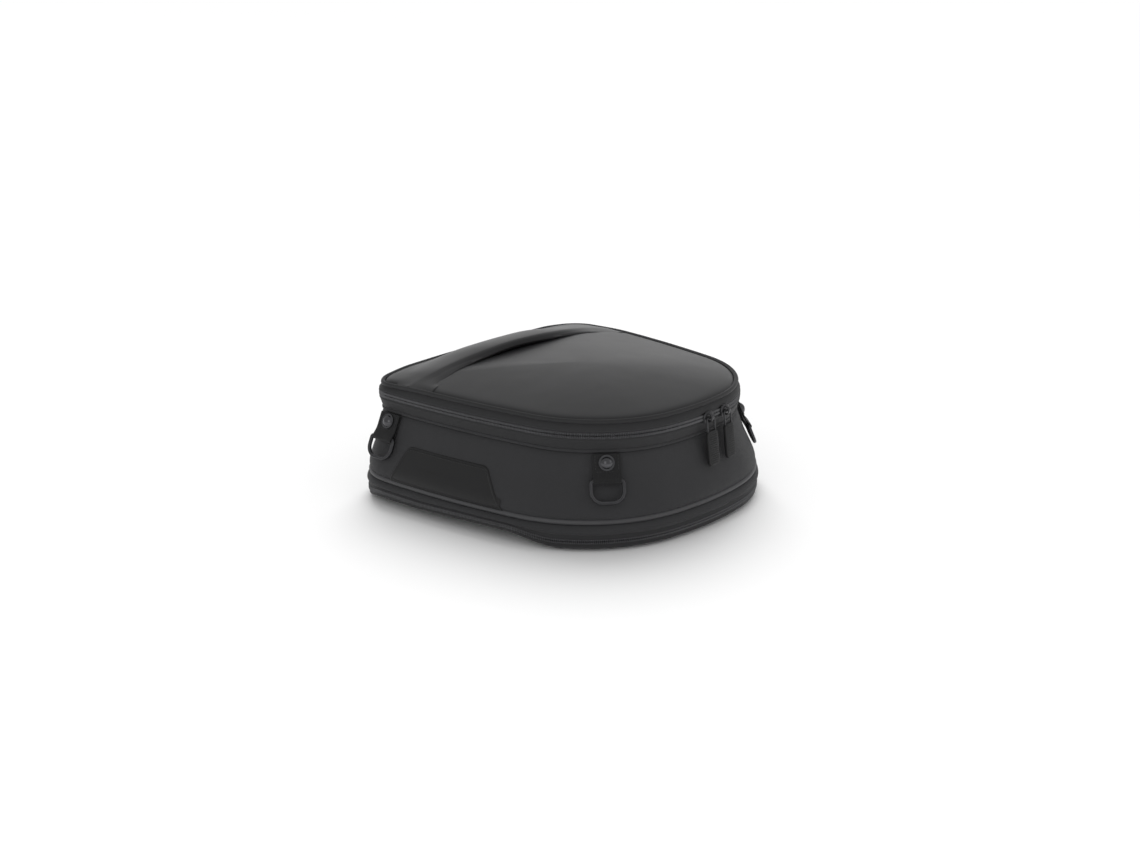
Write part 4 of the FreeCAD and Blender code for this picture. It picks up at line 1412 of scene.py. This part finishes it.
def make_pull_tab(side):
    column = Column(SLIDERS[side], 0)
    spot = column.at(1, ZIP_INSET + 0.0, ZIP_Z)
    place = place_on(spot, column.angle) @ Matrix.Translation((0, -PIVOT_OUT, 0)) @ Matrix.Rotation(math.radians(-PULL_TILT), 4, "X")
    rings = ((0.9 * MM, -1.0), (0.3 * MM, -0.86), (0.0, -0.6), (0.0, 0.6), (0.3 * MM, 0.86), (0.9 * MM, 1.0))
    middle = Vector((0, 0, -TAB_TOP - TAB_LENGTH / 2))
    verts, faces = rounded_plate(TAB_WIDTH, TAB_LENGTH, TAB_THICKNESS - 0.6 * MM, 3.4 * MM, rings)
    parts = [([place @ (v + middle) for v in verts], faces)]
    count = 15
    for i in range(count):
        z = -TAB_TOP - TAB_LENGTH * (i + 1) / (count + 1)
        for face in (-1, 1):
            half = TAB_WIDTH / 2 - (1.9 * MM if 0 < i < count - 1 else 3.0 * MM)
            y = face * (TAB_THICKNESS / 2 - 0.35 * MM)
            path = [place @ Vector((x, y, z)) for x in (-half, -half * 0.5, 0, half * 0.5, half)]
            parts.append(tube(path, 0.42 * MM, sides=6))
    tab = joined("pull_tab_cover_" + side, parts, sharp=60.0)
    dress(tab, "pull_tab", "pull_" + side, ["pull_tab_" + side])


def arched_bar(points, width, thick):
    """A flat bar bent along points in the y-z plane, width along x."""
    verts = []
    faces = []
    count = len(points)
    for i, spot in enumerate(points):
        along = (points[min(i + 1, count - 1)] - points[max(i - 1, 0)]).normalized()
        side = Vector((0, -along.z, along.y))
        for sx, st in ((-1, -0.7), (-0.8, -1), (0.8, -1), (1, -0.7), (1, 0.7), (0.8, 1), (-0.8, 1), (-1, 0.7)):
            verts.append(spot + Vector((sx * width / 2, 0, 0)) + side * (st * thick / 2))
    for i in range(count - 1):
        for k in range(8):
            j = (k + 1) % 8
            faces.append((i * 8 + k, i * 8 + j, (i + 1) * 8 + j, (i + 1) * 8 + k))
    faces.append(tuple(reversed(range(8))))
    faces.append(tuple((count - 1) * 8 + k for k in range(8)))
    return verts, faces


def slider_parts(length, height, bridge_height, mirror):
    """A zip slider: two shield-shaped plates, the post between them, side lips and the pull's bridge."""
    outer = -1.55 * MM
    inner = 2.75 * MM
    plate = 1.3 * MM
    half = height / 2
    shape = []
    for x, z in ((0.5, 0.62), (0.38, 0.92), (0.15, 1.0), (-0.28, 0.86), (-0.45, 0.7), (-0.5, 0.5)):
        shape.append((x * length * mirror, z * half))
    ring = shape + [(x, -z) for x, z in reversed(shape)]
    parts = []
    for face, thick in ((outer, -plate), (inner, plate)):
        verts = []
        for shrink, depth in ((0.94, 0.0), (1.0, 0.25), (1.0, 0.7), (0.9, 1.0)):
            verts.extend(Vector((x * shrink, face + thick * depth, z * shrink)) for x, z in ring)
        size = len(ring)
        faces = []
        for k in range(3):
            for i in range(size):
                j = (i + 1) % size
                faces.append((k * size + i, k * size + j, (k + 1) * size + j, (k + 1) * size + i))
        faces.append(tuple(reversed(range(size))))
        faces.append(tuple(3 * size + i for i in range(size)))
        parts.append((verts, faces))
    for sign in (-1, 1):
        lip = [Vector((x * mirror * length, outer, sign * (half * z - 0.35 * MM))) for x, z in ((0.3, 0.95), (0.1, 0.99), (-0.25, 0.87))]
        lip = [spot + Vector((0, 0.45 * MM, 0)) for spot in lip]
        parts.append(tube(lip, 0.45 * MM, sides=8))
    foot = outer - plate * 0.6
    rise = 4.4 * MM
    bridge = []
    for i in range(13):
        turn = math.pi * i / 12
        bridge.append(Vector((0, foot - rise * math.sin(turn) ** 0.7, -bridge_height / 2 * math.cos(turn))))
    parts.append(arched_bar(bridge, 3.4 * MM, 1.1 * MM))
    post = [Vector((length * 0.36 * mirror, outer, 0)), Vector((length * 0.36 * mirror, inner, 0))]
    parts.append(tube(post, 0.5 * MM, sides=8))
    return parts


def make_main_slider(side):
    column = Column(SLIDERS[side], 0)
    place = place_on(column.at(1, ZIP_INSET, ZIP_Z), column.angle)
    parts = slider_parts(14 * MM, 10.4 * MM, 7.4 * MM, 1 if side == "left" else -1)
    piece = joined("zip_slider_" + side, [([place @ v for v in verts], faces) for verts, faces in parts], sharp=45.0)
    dress(piece, "zip_metal", "main_slider_" + side, ["main_slider_" + side])


def finish_cad_nodes():
    """The metal parts whose CAD shape is kept get their finish here."""
    for node, slot in (("rivets", "rivet_metal"), ("pull_wire_left", "zip_metal"), ("pull_wire_right", "zip_metal"),
                       ("expansion_slider", "zip_metal"), ("expansion_pull", "zip_metal")):
        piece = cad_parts[node]
        piece.data.materials.clear()
        piece.data.materials.append(material(slot, FINISHES[slot]))


# Stage, light and camera
TARGET = Vector((45.65, 56.73, 33.52)) * MM
AZIMUTH = -47.7
ELEVATION = 18.45
DISTANCE = 1.7
FOCAL_PX = 1751.05
IMAGE_WIDTH_PX = 1140

# A broad key light from behind the bag, and an even sky
SKY = 0.6
KEY_POWER = 2.1
KEY_WIDTH = 50.0
KEY_ELEVATION = 48.0


def make_camera():
    az = math.radians(AZIMUTH)
    el = math.radians(ELEVATION)
    back = Vector((math.sin(az) * math.cos(el), -math.cos(az) * math.cos(el), math.sin(el)))
    data = bpy.data.cameras.new("view")
    data.sensor_width = 36.0
    data.lens = FOCAL_PX / IMAGE_WIDTH_PX * data.sensor_width
    data.clip_start = 0.01
    data.clip_end = 100.0
    camera = bpy.data.objects.new("view", data)
    camera.location = TARGET + back * DISTANCE
    camera.rotation_euler = back.to_track_quat("Z", "Y").to_euler()
    bpy.context.scene.collection.objects.link(camera)
    bpy.context.scene.camera = camera


def studio_floor():
    place = object_place()
    cloud = noise_of(place, 0.8)
    return None, 0, 0, {"Base Color": colour_between(cloud, (0.92, 0.92, 0.92), (0.94, 0.94, 0.94)),
                        "Roughness": 0.9, "Specular IOR Level": 0.1}


def make_stage():
    size = 14.0
    verts = [Vector((x, y, -0.0002)) for x, y in ((-size, -size), (size, -size), (size, size), (-size, size))]
    floor = new_object("studio_floor", verts, [(0, 1, 2, 3)])
    floor.data.materials.append(material("studio_floor", studio_floor))


def softbox(name, place, target, size, power):
    data = bpy.data.lights.new(name, "AREA")
    data.shape = "RECTANGLE"
    data.size, data.size_y = size
    data.energy = power
    lamp = bpy.data.objects.new(name, data)
    lamp.location = place
    lamp.rotation_euler = (Vector(place) - Vector(target)).to_track_quat("Z", "Y").to_euler()
    bpy.context.scene.collection.objects.link(lamp)
    return lamp


def make_light():
    world = bpy.data.worlds.new("studio")
    world.use_nodes = True
    world.node_tree.nodes["Background"].inputs["Color"].default_value = (1, 1, 1, 1)
    world.node_tree.nodes["Background"].inputs["Strength"].default_value = SKY
    bpy.context.scene.world = world
    bpy.context.scene.view_settings.view_transform = "Standard"
    data = bpy.data.lights.new("key", "SUN")
    data.energy = KEY_POWER
    data.angle = math.radians(KEY_WIDTH)
    lamp = bpy.data.objects.new("key", data)
    turn = math.radians(AZIMUTH + 180.0)
    climb = math.radians(KEY_ELEVATION)
    toward = Vector((math.sin(turn) * math.cos(climb), -math.cos(turn) * math.cos(climb), math.sin(climb)))
    lamp.rotation_euler = toward.to_track_quat("Z", "Y").to_euler()
    lamp.visible_glossy = False
    bpy.context.scene.collection.objects.link(lamp)
    window = softbox("window", (1.5, 1.37, 0.5), (0, 0, 0.11), (2.2, 0.6), 2.2)
    window.visible_diffuse = False
    softbox("left_fill", (-1.6, -0.7, 0.9), (0, 0, 0.05), (0.9, 1.1), 3)
    softbox("right_fill", (0.9, -1.7, 0.9), (0, 0, 0.05), (0.9, 1.1), 2)


def main():
    random.seed(7)
    make_camera()
    make_stage()
    make_light()
    make_base_pan()
    make_floor_board()
    make_gusset()
    make_expansion_zip()
    make_lower_band()
    make_base_piping()
    make_wall()
    make_wall_lining()
    make_top_piping()
    make_side_patch("side_patch_left", -1)
    make_side_patch("side_patch_right", 1)
    for name in RINGS:
        make_webbing(name)
        make_d_ring(name)
    make_main_zip()
    make_hinge_strip()
    make_lid_piping()
    make_lid_panel()
    make_lid_lining()
    make_handle()
    for side in SLIDERS:
        make_main_slider(side)
        make_pull_tab(side)
    finish_cad_nodes()


main()
